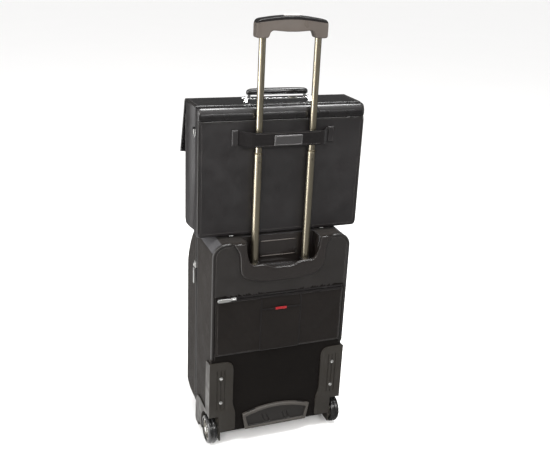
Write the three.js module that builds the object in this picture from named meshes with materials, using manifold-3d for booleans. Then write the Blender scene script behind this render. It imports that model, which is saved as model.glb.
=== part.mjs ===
// A two-wheel cabin case with a telescopic handle, and a pilot's briefcase strapped to that handle.
// Millimetres, +Z up. Lid, flap and pockets face -Y; the handle and the wheels are at +Y.
// The origin is on the floor, in the middle of the object's width and depth.
import * as THREE from 'three'
import { mergeVertices } from 'three/addons/utils/BufferGeometryUtils.js'
import Module from 'manifold-3d'

const wasm = await Module()
wasm.setup()
const object = new THREE.Group()

// ---------------------------------------------------------------- driving sizes

const gap = 0.3 // between pieces that touch
const runningGap = 0.4 // between pieces that slide or turn in each other

// Fabric case: a shell at the back and a lid at the front, joined by a zip
const caseWidth = 360
const caseTop = 568
const groundClearance = 33
const shellDepth = 141
const lidDepth = 96
const tapeWidth = 3.1 // visible part of each zip tape
const frontPocketDepth = 6
const fabricWall = 4 // fabric, foam and stiffener together
const topCornerRadius = 34
const bottomCornerRadius = 24
const backEdgeRadius = 7

// Wheels and their housings
const wheelRadius = 38
const wheelWidth = 24
const wheelProud = 14 // tyres stand behind the case's back by this
const wheelOutset = 6 // outer side of the wheel beyond the case's side
const hubRadius = 28
const hubBossRadius = 9
const bearingRadius = 7
const axleRadius = 4
const housingWall = 4
const plateHeight = 248 // top of the housing's back plate
const plateWidth = 63
const plateStep = 8 // the plate is this much wider beside the wheel
const archClearance = 9 // wheel well beyond the tyre
const skidInset = 12 // front of each skid behind the shell's front
const screwRadius = 4.5
const guardInset = 19.3 // between the skid guard and each housing
const guardBottom = 39
const guardShoulder = 86 // height at which the guard's arch starts
const guardCrown = 103
const footInset = 85 // front foot inside the case's side
const footRadius = 12

// Telescopic handle
const tubeSpacing = 134.5
const tubeInset = 21.2 // tube axis in front of the case's back
const upperTubeRadius = 8
const tubeWall = 1
const upperTravel = 260
const midTravel = 274
const tubeOverlap = 60
const pushedInGap = 6 // between the grip's legs and the middle tubes when pushed in
const recessDepth = 80 // handle recess below the case's top
const gripClearance = 7 // beside the grip in its recess
const collarWall = 4
const collarClearance = 2 // between the collars and the recess's front wall
const collarHeight = 17
const legWall = 3.25 // grip leg on the tube's inner side
const legOutset = 10.75 // grip leg on the tube's outer side
const gripDepth = 26
const gripBarHeight = 25
const gripCrown = 9
const buttonLength = 39
const buttonTravel = 3
const topHandleLength = 176
const topHandleWidth = 28

// Pockets and zips
const pocketInset = 10 // back pocket inside the case's side
const pocketDrop = 148 // back pocket's top below the case's top
const pocketRise = 19 // back pocket's bottom above the housing plates
const pocketThickness = 4
const pouchHalfWidth = 52.5
const zipWidth = 6
const zipThickness = 2.4
const frontPocketInset = 30
const frontPocketDrop = 238
const frontPocketRise = 57
const pullerLength = 44

// Briefcase
const briefcaseWidth = 417
const briefcaseHeight = 310
const briefcaseDepth = 120
const runnerHeight = 5.4
const runnerWidth = 10
const runnerSpacing = 240
const briefcasePocketHeight = 226
const pocketLift = 3 // front pocket's bottom below the briefcase's base
const leatherWall = 4
const gussetInset = 12
const flapThickness = 4
const flapDrop = 144
const flapFlare = 44 // lower edge of the flap in front of its top edge
const flapHingeInset = 25 // hinge seam in front of the back panel
const strapHeight = 34
const strapLift = 226 // lower edge of the strap above the briefcase's base
const strapThickness = 2.5
const strapClearance = 2.5 // between the grip and the strap
const patchWidth = 16
const plateHalfLength = 35
const carryBracketSpacing = 164

// ---------------------------------------------------------------- places worked out from them

const overallDepth = wheelProud + shellDepth + 2 * tapeWidth + 4 * gap + lidDepth + frontPocketDepth
const backY = overallDepth / 2 - wheelProud
const shellFront = backY - shellDepth
const lidBack = shellFront - 2 * tapeWidth - 3 * gap
const lidFront = lidBack - lidDepth
const zipY = (shellFront + lidBack) / 2
const halfCase = caseWidth / 2

const wheelY = backY + wheelProud - wheelRadius
const wheelX = halfCase + wheelOutset - wheelWidth / 2
const wellInner = wheelX - wheelWidth / 2 - 5
const wellRadius = wheelRadius + archClearance
const blockInner = wellInner - housingWall
const blockTop = wheelRadius + wellRadius + 10
const housingOuter = halfCase + gap + housingWall
const guardHalf = housingOuter - plateWidth - plateStep - guardInset
const plateBack = backY + gap + housingWall
const screwHeights = [plateHeight - 116, plateHeight - 45]
const screwX = housingOuter - plateWidth / 2 + 1.2

const tubeX = tubeSpacing / 2
const tubeY = backY - tubeInset
const midTubeRadius = upperTubeRadius + runningGap + tubeWall
const fixedTubeRadius = midTubeRadius + runningGap + tubeWall + 0.2
const collarRadius = fixedTubeRadius + collarWall
const recessFloor = caseTop - recessDepth
const collarTop = recessFloor + gap + collarHeight
const tubBack = backY + gap
const recessFront = tubeY - collarRadius - collarClearance
const bezelBack = tubBack + 6
const bezelBottom = recessFloor - 26
const baseTop = 60
const midTubeBottom = collarTop - tubeOverlap
const midTubeTop = collarTop + midTravel - gap
const handleReach = midTubeTop + upperTravel + pushedInGap // lower end of the grip's legs
const halfGrip = tubeX + upperTubeRadius + legOutset
const recessHalfWidth = halfGrip + gripClearance
const gripTop = handleReach + gripBarHeight + 15
const gripUnderside = handleReach + 17
const gripFront = tubeY - gripDepth / 2
const gripBack = tubeY + gripDepth / 2

const briefcaseBase = caseTop + 2 * gap + runnerHeight
const briefcaseTop = briefcaseBase + briefcaseHeight
const briefcaseBack = gripFront - 1.5
const briefcaseFront = briefcaseBack - briefcaseDepth
const halfBriefcase = briefcaseWidth / 2
const flapTop = briefcaseTop + gap + flapThickness
const flapHingeY = briefcaseBack - flapHingeInset
const flapFront = briefcaseFront - 5 - flapThickness
const strapY = gripBack + strapClearance
const strapBase = briefcaseBase + strapLift

const backPocketTop = caseTop - pocketDrop
const backPocketBottom = plateHeight + pocketRise

// ---------------------------------------------------------------- making solids

const X = new THREE.Vector3(1, 0, 0)
const Y = new THREE.Vector3(0, 1, 0)
const Z = new THREE.Vector3(0, 0, 1)

function solid(geometry) {
  geometry.deleteAttribute('normal')
  geometry.deleteAttribute('uv')
  const merged = mergeVertices(geometry, 1e-4)
  return new wasm.Manifold(new wasm.Mesh({
    numProp: 3,
    vertProperties: new Float32Array(merged.attributes.position.array),
    triVerts: new Uint32Array(merged.index.array),
  }))
}

function geometryOf(body, mirror) {
  const { vertProperties, triVerts } = body.getMesh()
  const positions = Float32Array.from(vertProperties)
  const triangles = Array.from(triVerts)
  if (mirror) {
    for (let i = 0; i < positions.length; i += 3) positions[i] *= -1
    for (let i = 0; i < triangles.length; i += 3) {
      [triangles[i], triangles[i + 1]] = [triangles[i + 1], triangles[i]]
    }
  }
  const geometry = new THREE.BufferGeometry()
  geometry.setAttribute('position', new THREE.BufferAttribute(positions, 3))
  geometry.setIndex(triangles)
  return geometry
}

function place(name, body, material, mirror = false) {
  const mesh = new THREE.Mesh(geometryOf(body, mirror), material)
  mesh.name = name
  object.add(mesh)
}

// The same piece on both sides; the solid is made for the +X side, which is the object's left.
function placePair(name, body, material) {
  place(`${name}_left`, body, material)
  place(`${name}_right`, body, material, true)
}

// A closed outline through corners [u, v, radius]; a corner with no radius is sharp.
function outline(corners) {
  const toward = (from, to, distance) => {
    const length = Math.hypot(to[0] - from[0], to[1] - from[1])
    return [0, 1].map((k) => from[k] + ((to[k] - from[k]) * distance) / length)
  }
  const shape = new THREE.Shape()
  corners.forEach((corner, i) => {
    const [u, v, radius = 0] = corner
    const start = toward(corner, corners.at(i - 1), radius)
    const end = toward(corner, corners[(i + 1) % corners.length], radius)
    if (i === 0) shape.moveTo(...start)
    else shape.lineTo(...start)
    if (radius > 0) shape.quadraticCurveTo(u, v, ...end)
  })
  shape.closePath()
  return shape
}

// Corners given for u >= 0 from the bottom up, closed by their mirror image.
const symmetric = (half) => outline([...half, ...half.map(([u, v, r]) => [-u, v, r]).reverse()])

function extrusion(shape, depth, bevel, curveSegments) {
  return new THREE.ExtrudeGeometry(shape, {
    depth: depth - 2 * bevel,
    bevelEnabled: bevel > 0,
    bevelThickness: bevel,
    bevelSize: bevel,
    bevelOffset: -bevel,
    bevelSegments: 2,
    curveSegments,
  }).translate(0, 0, bevel)
}

// An outline in (y, z), (x, z) or (x, y), given its length along the third axis.
function alongX(shape, x0, x1, bevel = 0, segments = 4) {
  const turned = extrusion(shape, x1 - x0, bevel, segments)
    .applyMatrix4(new THREE.Matrix4().makeBasis(Y, Z, X))
  return solid(turned.translate(x0, 0, 0))
}

function alongY(shape, y0, y1, bevel = 0, segments = 4) {
  const turned = extrusion(shape, y1 - y0, bevel, segments)
    .applyMatrix4(new THREE.Matrix4().makeBasis(X, Z, Y.clone().negate()))
  return solid(turned.translate(0, y1, 0))
}

function alongZ(shape, z0, z1, bevel = 0, segments = 4) {
  return solid(extrusion(shape, z1 - z0, bevel, segments).translate(0, 0, z0))
}

function box(x0, x1, y0, y1, z0, z1) {
  const geometry = new THREE.BoxGeometry(x1 - x0, y1 - y0, z1 - z0)
  return solid(geometry.translate((x0 + x1) / 2, (y0 + y1) / 2, (z0 + z1) / 2))
}

function rodX(radius, x0, x1, y, z, sides = 24) {
  const geometry = new THREE.CylinderGeometry(radius, radius, x1 - x0, sides).rotateZ(Math.PI / 2)
  return solid(geometry.translate((x0 + x1) / 2, y, z))
}

function rodY(radius, y0, y1, x, z, sides = 16) {
  const geometry = new THREE.CylinderGeometry(radius, radius, y1 - y0, sides)
  return solid(geometry.translate(x, (y0 + y1) / 2, z))
}

function rodZ(radius, z0, z1, x, y, sides = 24, topRadius = radius) {
  const geometry = new THREE.CylinderGeometry(topRadius, radius, z1 - z0, sides).rotateX(Math.PI / 2)
  return solid(geometry.translate(x, y, (z0 + z1) / 2))
}

function tubeZ(radius, wall, z0, z1) {
  return rodZ(radius, z0, z1, tubeX, tubeY).subtract(rodZ(radius - wall, z0 - 1, z1 + 1, tubeX, tubeY))
}

// ---------------------------------------------------------------- materials

const finish = (color, roughness, metalness = 0) =>
  new THREE.MeshStandardMaterial({ color, roughness, metalness })

const nylon = finish('#2a2726', 0.85)
const pocketNylon = finish('#24211f', 0.8)
const leather = finish('#252324', 0.5)
const glossLeather = finish('#161516', 0.3)
const housingPlastic = finish('#4a4843', 0.6)
const guardPlastic = finish('#5a5855', 0.6)
const bezelPlastic = finish('#35302d', 0.4)
const aluminium = finish('#8a8066', 0.35, 0.9)
const steel = finish('#b8b8b6', 0.3, 1)
const chrome = finish('#d5d5d5', 0.12, 1)
const tyreRubber = finish('#101010', 0.35)
const hubPlastic = finish('#a8a8a6', 0.35, 0.7)
const gripPlastic = finish('#8f8681', 0.45)
const gripCapPlastic = finish('#1b1a1a', 0.35)
const gunmetal = finish('#4b4b4e', 0.35, 0.9)
const webbing = finish('#1c1a1a', 0.8)

// ---------------------------------------------------------------- fabric shell and lid

const caseOutline = (inset) => symmetric([
  [halfCase - inset, groundClearance + inset, bottomCornerRadius],
  [halfCase - inset, caseTop - inset, topCornerRadius],
])

// Side view of a wheel housing's lower block: a foot in front, an arch over it, the case's back behind.
const skidFront = shellFront + skidInset
const blockProfile = (grow) => outline([
  [skidFront - grow, 1 - grow, 10],
  [plateBack + grow, 1 - grow],
  [plateBack + grow, blockTop + grow],
  [skidFront - grow, blockTop + grow, 48],
])

const wheelBlock = (grow) => {
  const left = alongX(blockProfile(grow), blockInner - grow, halfCase + 60)
  return left.add(alongX(blockProfile(grow), -halfCase - 60, grow - blockInner))
}

const tubWall = 3
const tubOutline = (grow) => symmetric([
  [recessHalfWidth + tubWall + grow, recessFloor - tubWall - grow, 14],
  [recessHalfWidth + tubWall + grow, caseTop + 30],
])
const handleTub = (grow) => alongY(tubOutline(grow), recessFront - tubWall - grow, backY + 20)

function screwHoles(y0, y1, radius) {
  const holes = screwHeights.flatMap((z) => [-screwX, screwX].map((x) => rodY(radius, y0, y1, x, z)))
  return holes.reduce((all, hole) => all.add(hole))
}

function tubePassages(radius) {
  const [left, right] = [tubeX, -tubeX].map((x) =>
    rodZ(radius, recessFloor - tubWall - fabricWall - 9, recessFloor + 1, x, tubeY))
  return left.add(right)
}

function makeShell() {
  const body = alongY(caseOutline(0), shellFront - 30, backY, backEdgeRadius)
    .subtract(box(-halfCase - 9, halfCase + 9, shellFront - 40, shellFront, 0, caseTop + 9))
  const inside = alongY(caseOutline(fabricWall), shellFront - 40, backY - fabricWall)
    .subtract(wheelBlock(gap + fabricWall))
    .subtract(handleTub(gap + fabricWall))
  const shell = body.subtract(inside).subtract(wheelBlock(gap)).subtract(handleTub(gap))
    .subtract(screwHoles(backY - 9, backY + 9, screwRadius * 0.45 + gap))
    .subtract(tubePassages(fixedTubeRadius + gap))
  place('case_shell', shell, nylon)
}

// Side view of the lid: upright in front, with a long curve back to the case's top.
function lidProfile(inset, backEdge) {
  const front = lidFront + inset
  const bottom = groundClearance + inset
  const noseTop = caseTop - 168
  const shape = new THREE.Shape()
  shape.moveTo(backEdge, bottom)
  shape.lineTo(front + 34, bottom)
  shape.quadraticCurveTo(front, bottom, front, bottom + 34)
  shape.lineTo(front, noseTop)
  shape.bezierCurveTo(front, noseTop + 80, front + 36, caseTop - 2 - inset, lidBack, caseTop - inset)
  shape.lineTo(backEdge, caseTop - inset)
  shape.closePath()
  return shape
}

function makeLid() {
  const body = alongX(lidProfile(0, lidBack), -halfCase, halfCase)
    .intersect(alongY(caseOutline(0), lidFront - 5, lidBack))
  const inside = alongX(lidProfile(fabricWall, lidBack + 5), fabricWall - halfCase, halfCase - fabricWall)
    .intersect(alongY(caseOutline(fabricWall), lidFront - 5, lidBack + 5))
  place('lid_shell', body.subtract(inside), nylon)
}

// A puller lying along +u from its slider, widest at its far end.
function pullerOutline(u, v) {
  const end = u + pullerLength - 9.7
  return outline([
    [u, v - 3], [u + 10.3, v - 4.5, 3], [end, v - 4.5, 4],
    [end, v + 4.5, 4], [u + 10.3, v + 4.5, 3], [u, v + 3],
  ])
}

function makeZips() {
  const hingeSide = box(-halfCase - 9, -halfCase + 30, lidBack - 5, shellFront + 5, 0, caseTop + 9)
  const tape = (y0, y1) => alongY(caseOutline(0), y0, y1)
    .subtract(alongY(caseOutline(fabricWall + 3), y0 - 1, y1 + 1))
    .subtract(hingeSide)
  place('zip_tape_shell', tape(shellFront - gap - tapeWidth, shellFront - gap), webbing)
  place('zip_tape_lid', tape(lidBack + gap, lidBack + gap + tapeWidth), webbing)
  const strip = box(-halfCase, fabricWall - halfCase, lidBack + gap, shellFront - gap,
    groundClearance + 30, caseTop - 42)
  place('hinge_strip', strip, webbing)

  const sliderZ = caseTop - 116
  const slider = box(halfCase + gap, halfCase + 5.3, zipY - 5.5, zipY + 5.5, sliderZ, sliderZ + 18)
    .add(box(halfCase + 4, halfCase + 9, zipY - 2, zipY + 2, sliderZ + 3, sliderZ + 13))
  place('main_zip_slider', slider, steel)
  const puller = outline([
    [zipY - 3, sliderZ - 0.7], [zipY - 4.5, sliderZ - 12, 3], [zipY - 4.5, sliderZ - pullerLength, 4],
    [zipY + 4.5, sliderZ - pullerLength, 4], [zipY + 4.5, sliderZ - 12, 3], [zipY + 3, sliderZ - 0.7],
  ])
  place('main_zip_puller', alongX(puller, halfCase + 7, halfCase + 9), steel)
}

// ---------------------------------------------------------------- pockets on both sides

function makeBackPocket() {
  const half = halfCase - pocketInset
  const panel = symmetric([[half, backPocketBottom, 8], [half, backPocketTop, 4]])
  place('back_pocket', alongY(panel, backY + gap, backY + gap + pocketThickness, 1.5), pocketNylon)
  const pouchBack = backY + pocketThickness + 2 * gap
  const pouch = symmetric([[pouchHalfWidth, backPocketBottom + 1, 2], [pouchHalfWidth, backPocketTop - 34, 2]])
  place('back_pocket_pouch', alongY(pouch, pouchBack, pouchBack + 1.6, 0.4), pocketNylon)
  const zipZ = backPocketTop + 1 + zipWidth / 2
  place('back_pocket_zip', box(2 - half, half - 2, backY + gap, backY + gap + zipThickness,
    zipZ - zipWidth / 2, zipZ + zipWidth / 2), webbing)
  const sliderX = half - 44
  const sliderBack = backY + 2 * gap + zipThickness
  const slider = box(sliderX - 7, sliderX + 7, sliderBack, sliderBack + 4, zipZ - 3.6, zipZ + 3.6)
    .add(box(sliderX - 4, sliderX + 4, sliderBack + 3, sliderBack + 7, zipZ - 1.5, zipZ + 1.5))
  place('back_zip_slider', slider, steel)
  place('back_zip_puller', alongY(pullerOutline(sliderX + 7.7, zipZ), sliderBack + 5, sliderBack + 7), steel)
}

function makeFrontPocket() {
  const pocketTop = caseTop - frontPocketDrop
  const face = lidFront - gap
  const half = halfCase - frontPocketInset
  const panel = symmetric([[half, groundClearance + frontPocketRise, 14], [half, pocketTop, 6]])
  const zipZ = pocketTop + 5
  const zip = box(2 - half, half - 2, face - zipThickness, face, pocketTop - 9, zipZ + zipWidth / 2)
  place('front_pocket', alongY(panel, face - frontPocketDepth, face, 2).add(zip), pocketNylon)
  const sliderFace = face - zipThickness - gap
  const sliderX = half - 19
  const slider = box(sliderX - 7, sliderX + 7, sliderFace - 3.1, sliderFace, zipZ - 4.5, zipZ + 4.5)
    .add(box(sliderX + 5, sliderX + 33, sliderFace - 3.1, sliderFace - 1.5, zipZ - 3.5, zipZ + 3.5))
  place('front_zip_slider', slider, steel)
}

// ---------------------------------------------------------------- wheels and housings

function makeHousings() {
  const inner = housingOuter - plateWidth
  const plateBottom = groundClearance + 8
  const stepTop = blockTop + 27
  const flangeBottom = 2 * wheelRadius - 3
  const flangeFront = plateBack - 36
  const plate = alongY(outline([
    [housingOuter, plateHeight, 3], [inner, plateHeight, 24], [inner, stepTop, 11],
    [inner - plateStep, stepTop - 26, 11], [inner - plateStep, plateBottom, 8], [housingOuter, plateBottom],
  ]), backY + gap, plateBack)
  const flange = alongX(outline([
    [plateBack, flangeBottom], [plateBack, plateHeight - 1], [flangeFront, plateHeight - 4, 10],
    [flangeFront, flangeBottom],
  ]), halfCase + gap, housingOuter)
  const wellFront = wheelY - wellRadius
  const block = alongX(blockProfile(0), blockInner, housingOuter)
    .subtract(box(blockInner - 1, housingOuter + 1, skidFront + 30, backY + 30, -5, 15))
  const hollow = alongX(blockProfile(-3), blockInner - 1, housingOuter - 3)
    .intersect(box(blockInner - 2, housingOuter, skidFront, wellFront - 3, 19, blockTop))
  const well = rodX(wellRadius, wellInner, housingOuter + 9, wheelY, wheelRadius, 40)
    .add(box(wellInner, housingOuter + 9, wheelY, backY + 40, -5, blockTop - 6))
  let housing = plate.add(flange).add(block).subtract(hollow).subtract(well)
    .subtract(screwHoles(backY - 9, plateBack + 9, screwRadius * 0.45 + gap))
    .subtract(rodX(axleRadius + gap, blockInner - 1, wellInner + 1, wheelY, wheelRadius, 20))
  for (const side of [-1, 0, 1]) {
    const x = screwX + 10 * side
    housing = housing.subtract(box(x - 1.4, x + 1.4, plateBack - 1.6, plateBack + 1,
      screwHeights[0] - 22, screwHeights[1] + 22))
  }
  placePair('wheel_housing', housing, housingPlastic)

  screwHeights.forEach((z, i) => {
    const screw = rodY(screwRadius, plateBack + gap, plateBack + 2.6, screwX, z)
      .add(rodY(screwRadius * 0.45, backY - fabricWall + gap, plateBack + 1, screwX, z, 10))
      .subtract(box(screwX - 3, screwX + 3, plateBack + 1.7, plateBack + 4, z - 0.6, z + 0.6))
      .subtract(box(screwX - 0.6, screwX + 0.6, plateBack + 1.7, plateBack + 4, z - 3, z + 3))
    placePair(`housing_screw_${['lower', 'upper'][i]}`, screw, steel)
  })

  const capOuter = wheelX + wheelWidth / 2
  const axle = rodX(axleRadius, blockInner, capOuter - 1.2, wheelY, wheelRadius, 20)
    .add(rodX(axleRadius + 3, capOuter - 3, capOuter - 0.5, wheelY, wheelRadius, 20))
  placePair('axle', axle, steel)
}

function makeWheels() {
  const edge = 8 // rounding of the tread
  const half = wheelWidth / 2
  const section = [
    [hubRadius, -half + 3], [wheelRadius - edge, -half], [wheelRadius - 2.5, -half + 2.5],
    [wheelRadius, -half + edge], [wheelRadius, half - edge], [wheelRadius - 2.5, half - 2.5],
    [wheelRadius - edge, half], [hubRadius, half - 3], [hubRadius, -half + 3],
  ].map(([r, x]) => new THREE.Vector2(r, x))
  const tyre = solid(new THREE.LatheGeometry(section, 36).rotateZ(-Math.PI / 2)
    .translate(wheelX, wheelY, wheelRadius))
  placePair('tyre', tyre, tyreRubber)

  const at = (radius, x0, x1, sides) => rodX(radius, wheelX + x0, wheelX + x1, wheelY, wheelRadius, sides)
  const rim = at(hubRadius - gap, 3 - half, half - 3, 40).subtract(at(hubRadius - 5, -half, half, 40))
  let hub = rim.add(at(hubBossRadius, 2 - half, half - 5, 24))
  const spokes = 6
  for (let i = 0; i < spokes; i += 1) {
    const arm = new THREE.BoxGeometry(wheelWidth - 12, hubRadius - 8, 5)
      .translate(0, (hubRadius - 4) / 2 + 2, 0)
      .rotateX((i * 2 * Math.PI) / spokes)
    hub = hub.add(solid(arm.translate(wheelX, wheelY, wheelRadius)))
  }
  hub = hub.subtract(at(bearingRadius + gap, -half, half, 20))
  placePair('hub', hub, hubPlastic)
  const bearing = at(bearingRadius, 2 - half, half - 5, 20).subtract(at(axleRadius + gap, -half, half, 20))
  placePair('bearing', bearing, steel)
}

function makeSkidGuard() {
  const shape = (inset) => {
    const [half, bottom, shoulder] = [guardHalf - inset, guardBottom + inset, guardShoulder - inset]
    const arch = new THREE.Shape()
    arch.moveTo(8 - half, bottom)
    arch.lineTo(half - 8, bottom)
    arch.lineTo(half, shoulder)
    arch.quadraticCurveTo(0, 2 * guardCrown - guardShoulder - inset, -half, shoulder)
    arch.closePath()
    return arch
  }
  const guardBack = backY + gap
  let guard = alongY(shape(0), guardBack, guardBack + 9, 1.5, 16)
    .subtract(alongY(shape(8), guardBack + 4, guardBack + 12, 0, 16))
  for (const x of [-34, -22, 22, 34]) {
    const [low, high] = [guardBottom + 11, guardBottom + 33]
    const slot = outline([[x - 6, low], [x - 3, low], [x + 6, high], [x + 3, high]])
    guard = guard.subtract(alongY(slot, guardBack + 2, guardBack + 12))
  }
  place('skid_guard', guard, guardPlastic)
}

function makeFeet() {
  const footY = lidBack - lidDepth * 0.41
  placePair('front_foot', rodZ(footRadius, 0, groundClearance - gap,
    halfCase - footInset, footY, 20, footRadius + 4), housingPlastic)
}

// ---------------------------------------------------------------- telescopic handle

function makeBezel() {
  const rim = symmetric([
    [recessHalfWidth - 33, bezelBottom, 20], [recessHalfWidth + 16, bezelBottom + 16, 26],
    [recessHalfWidth + 19, bezelBottom + 78, 12], [recessHalfWidth + 35, caseTop - 1, 9],
  ])
  const lip = recessFloor + 20
  const opening = symmetric([
    [22, lip - 10, 10], [46, lip, 10], [recessHalfWidth - 9, lip + 1, 10],
    [recessHalfWidth, lip + 22, 10], [recessHalfWidth + 7, caseTop + 5],
  ])
  const recess = symmetric([
    [recessHalfWidth, recessFloor, 8], [recessHalfWidth, caseTop + 9],
  ])
  const tub = handleTub(0).subtract(box(-halfCase, halfCase, tubBack + 1, backY + 40, 0, caseTop + 40))
    .subtract(box(-halfCase, halfCase, recessFront - 9, backY + 40, caseTop - 1, caseTop + 40))
  let bezel = alongY(rim, tubBack, bezelBack, 2).add(tub)
    .subtract(alongY(recess, recessFront, backY - 2))
    .subtract(alongY(opening, backY - 3, bezelBack + 5))
  for (const x of [-tubeX, tubeX]) {
    bezel = bezel.subtract(rodZ(midTubeRadius + 0.6, recessFloor - 9, recessFloor + 1, x, tubeY))
  }
  place('handle_bezel', bezel, bezelPlastic)

  const plateHalf = tubeX - midTubeRadius - 9.85
  const plate = symmetric([[plateHalf, collarTop + 6, 2], [plateHalf, caseTop - 15, 2]])
  place('recess_plate', alongY(plate, recessFront + gap, recessFront + gap + 1.7), bezelPlastic)
  const bridge = box(-tubeX, tubeX, tubeY - 6, tubeY + 6, recessFloor + gap, recessFloor + 3)
  const bores = rodZ(midTubeRadius + runningGap, recessFloor - 5, collarTop + 5, tubeX, tubeY)
    .add(rodZ(midTubeRadius + runningGap, recessFloor - 5, collarTop + 5, -tubeX, tubeY))
  const ring = (x) => rodZ(collarRadius, recessFloor + gap, collarTop, x, tubeY, 24, collarRadius - 1.5)
  place('tube_collars', bridge.add(ring(tubeX)).add(ring(-tubeX)).subtract(bores), gripCapPlastic)
}

function makeTubes() {
  placePair('fixed_tube', tubeZ(fixedTubeRadius, tubeWall + 0.2, baseTop + gap,
    recessFloor - tubWall - gap), aluminium)
  const baseHalf = tubeX + 16
  place('tube_base', box(-baseHalf, baseHalf, tubeY - 13, tubeY + 13,
    groundClearance + fabricWall + gap, baseTop), housingPlastic)

  const lockHole = rodY(2, tubeY, tubeY + 20, tubeX, midTubeTop - 17, 12)
  const throat = tubeZ(midTubeRadius, tubeWall + 0.1, midTubeTop - 1, midTubeTop + 4)
  placePair('middle_tube', tubeZ(midTubeRadius, tubeWall, midTubeBottom, midTubeTop)
    .subtract(lockHole).add(throat), aluminium)
  placePair('upper_tube', tubeZ(upperTubeRadius, tubeWall, midTubeTop - tubeOverlap, handleReach + 22),
    aluminium)
}

class Helix extends THREE.Curve {
  constructor(radius, z0, z1, turns) {
    super()
    Object.assign(this, { radius, z0, z1, turns })
  }

  getPoint(t, target = new THREE.Vector3()) {
    const angle = 2 * Math.PI * this.turns * t
    return target.set(this.radius * Math.cos(angle), tubeY + this.radius * Math.sin(angle),
      this.z0 + (this.z1 - this.z0) * t)
  }
}

const ellipse = (halfLength, halfWidth) => {
  const shape = new THREE.Shape()
  shape.absellipse(0, tubeY, halfLength, halfWidth, 0, 2 * Math.PI)
  return shape
}

function makeGrip() {
  const half = halfGrip
  const legInner = tubeX - upperTubeRadius - legWall
  const whole = alongY(symmetric([
    [12, gripUnderside - 3, 6], [legInner - 5, gripUnderside, 9], [legInner, handleReach, 6],
    [half, handleReach, 6], [half, gripTop, 12], [half * 0.5, gripTop + gripCrown * 0.75, 20],
    [12, gripTop + gripCrown, 8],
  ]), gripFront, gripBack, 3)
  const capHeight = 8
  const above = (drop) => {
    const seam = gripTop - capHeight - drop
    return alongY(symmetric([
      [12, seam + gripCrown, 8], [half * 0.5, seam + gripCrown * 0.75, 20], [half + 9, seam],
      [half + 9, gripTop + 40],
    ]), gripFront - 5, gripBack + 5)
  }
  const buttonTop = gripTop + gripCrown + 2.5
  const buttonBottom = buttonTop - 10
  const pocket = (grow) => ellipse(buttonLength / 2 + grow, 7 + grow)
  const cap = whole.intersect(above(0)).subtract(alongZ(pocket(0.7), buttonBottom - 9, buttonTop + 9))
  place('grip_cap', cap, gripCapPlastic)

  const springFloor = gripUnderside + 5
  let body = whole.subtract(above(gap))
    .subtract(alongZ(pocket(0.7), buttonBottom - buttonTravel - 1.5, buttonTop + 9))
    .subtract(rodZ(5.2, springFloor, buttonTop, 0, tubeY))
  for (const x of [-tubeX, tubeX]) {
    body = body.subtract(rodZ(upperTubeRadius + gap, handleReach - 9, handleReach + 22 + gap, x, tubeY))
  }
  place('grip_body', body, gripPlastic)
  place('release_button', alongZ(pocket(0), buttonBottom, buttonTop, 1.5), gripPlastic)

  const wire = new THREE.Shape()
  wire.absarc(0, 0, 0.6, 0, 2 * Math.PI)
  const coil = new Helix(3.6, springFloor + 1, buttonBottom - 1, 5)
  const spring = new THREE.ExtrudeGeometry(wire, {
    extrudePath: coil, steps: 48, curveSegments: 2, bevelEnabled: false,
  })
  place('button_spring', solid(spring), steel)
}

// ---------------------------------------------------------------- carry handle on the case's top

function makeTopHandle() {
  const y = (shellFront + recessFront) / 2
  const [half, side] = [topHandleLength / 2, topHandleWidth / 2]
  const strap = outline([[-half, y - side, 6], [half, y - side, 6], [half, y + side, 6], [-half, y + side, 6]])
  place('top_handle', alongZ(strap, caseTop + gap, caseTop + 4, 0.8), leather)
}

// ---------------------------------------------------------------- briefcase

const gussetBack = briefcaseBack - 40
const gussetFront = gussetBack - 36
const ringZ = briefcaseBase + 254.5
const ringX = halfBriefcase - gussetInset + 4.5
const ringY = (gussetBack + gussetFront) / 2

function ringTab(side) {
  const wall = side * (halfBriefcase - gussetInset - 1)
  const faces = [wall, wall + side * 3].sort((a, b) => a - b)
  return box(...faces, ringY - 7, ringY + 7, ringZ - 2, ringZ + 16)
    .add(rodY(4.2, ringY - 7, ringY + 7, side * ringX, ringZ))
    .subtract(rodY(2.7, ringY - 9, ringY + 9, side * ringX, ringZ))
}

function makeBriefcaseBody() {
  const plan = symmetric([
    [halfBriefcase, briefcaseFront, 8], [halfBriefcase, gussetFront, 3],
    [halfBriefcase - gussetInset, gussetFront + 8, 3], [halfBriefcase - gussetInset, gussetBack - 8, 3],
    [halfBriefcase, gussetBack, 3], [halfBriefcase, briefcaseBack, 8],
  ])
  const roll = outline([
    [flapHingeY + 2 * gap, briefcaseTop - 20], [flapHingeY + 2 * gap, flapTop],
    [briefcaseBack, flapTop, 14], [briefcaseBack, briefcaseTop - 20],
  ])
  const innerHalf = halfBriefcase - gussetInset - leatherWall
  const innerFront = briefcaseFront + leatherWall
  const innerBack = briefcaseBack - leatherWall - 1
  const body = alongZ(plan, briefcaseBase, briefcaseTop)
    .add(alongX(roll, -halfBriefcase, halfBriefcase, 2))
    .subtract(box(-innerHalf, innerHalf, innerFront, innerBack, briefcaseBase + leatherWall, briefcaseTop - 8))
    .subtract(box(-innerHalf, innerHalf, innerFront, flapHingeY - 2, briefcaseTop - 9, flapTop + 9))
  place('briefcase_body', body.add(ringTab(1)).add(ringTab(-1)), leather)

  const runner = outline([
    [shellFront + 8, caseTop + gap, 2], [briefcaseBack - 10, caseTop + gap, 2],
    [briefcaseBack - 12, briefcaseBase - gap, 2], [shellFront + 10, briefcaseBase - gap, 2],
  ])
  const runnerX = runnerSpacing / 2
  placePair('base_runner', alongX(runner, runnerX - runnerWidth / 2, runnerX + runnerWidth / 2), steel)
}

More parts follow.
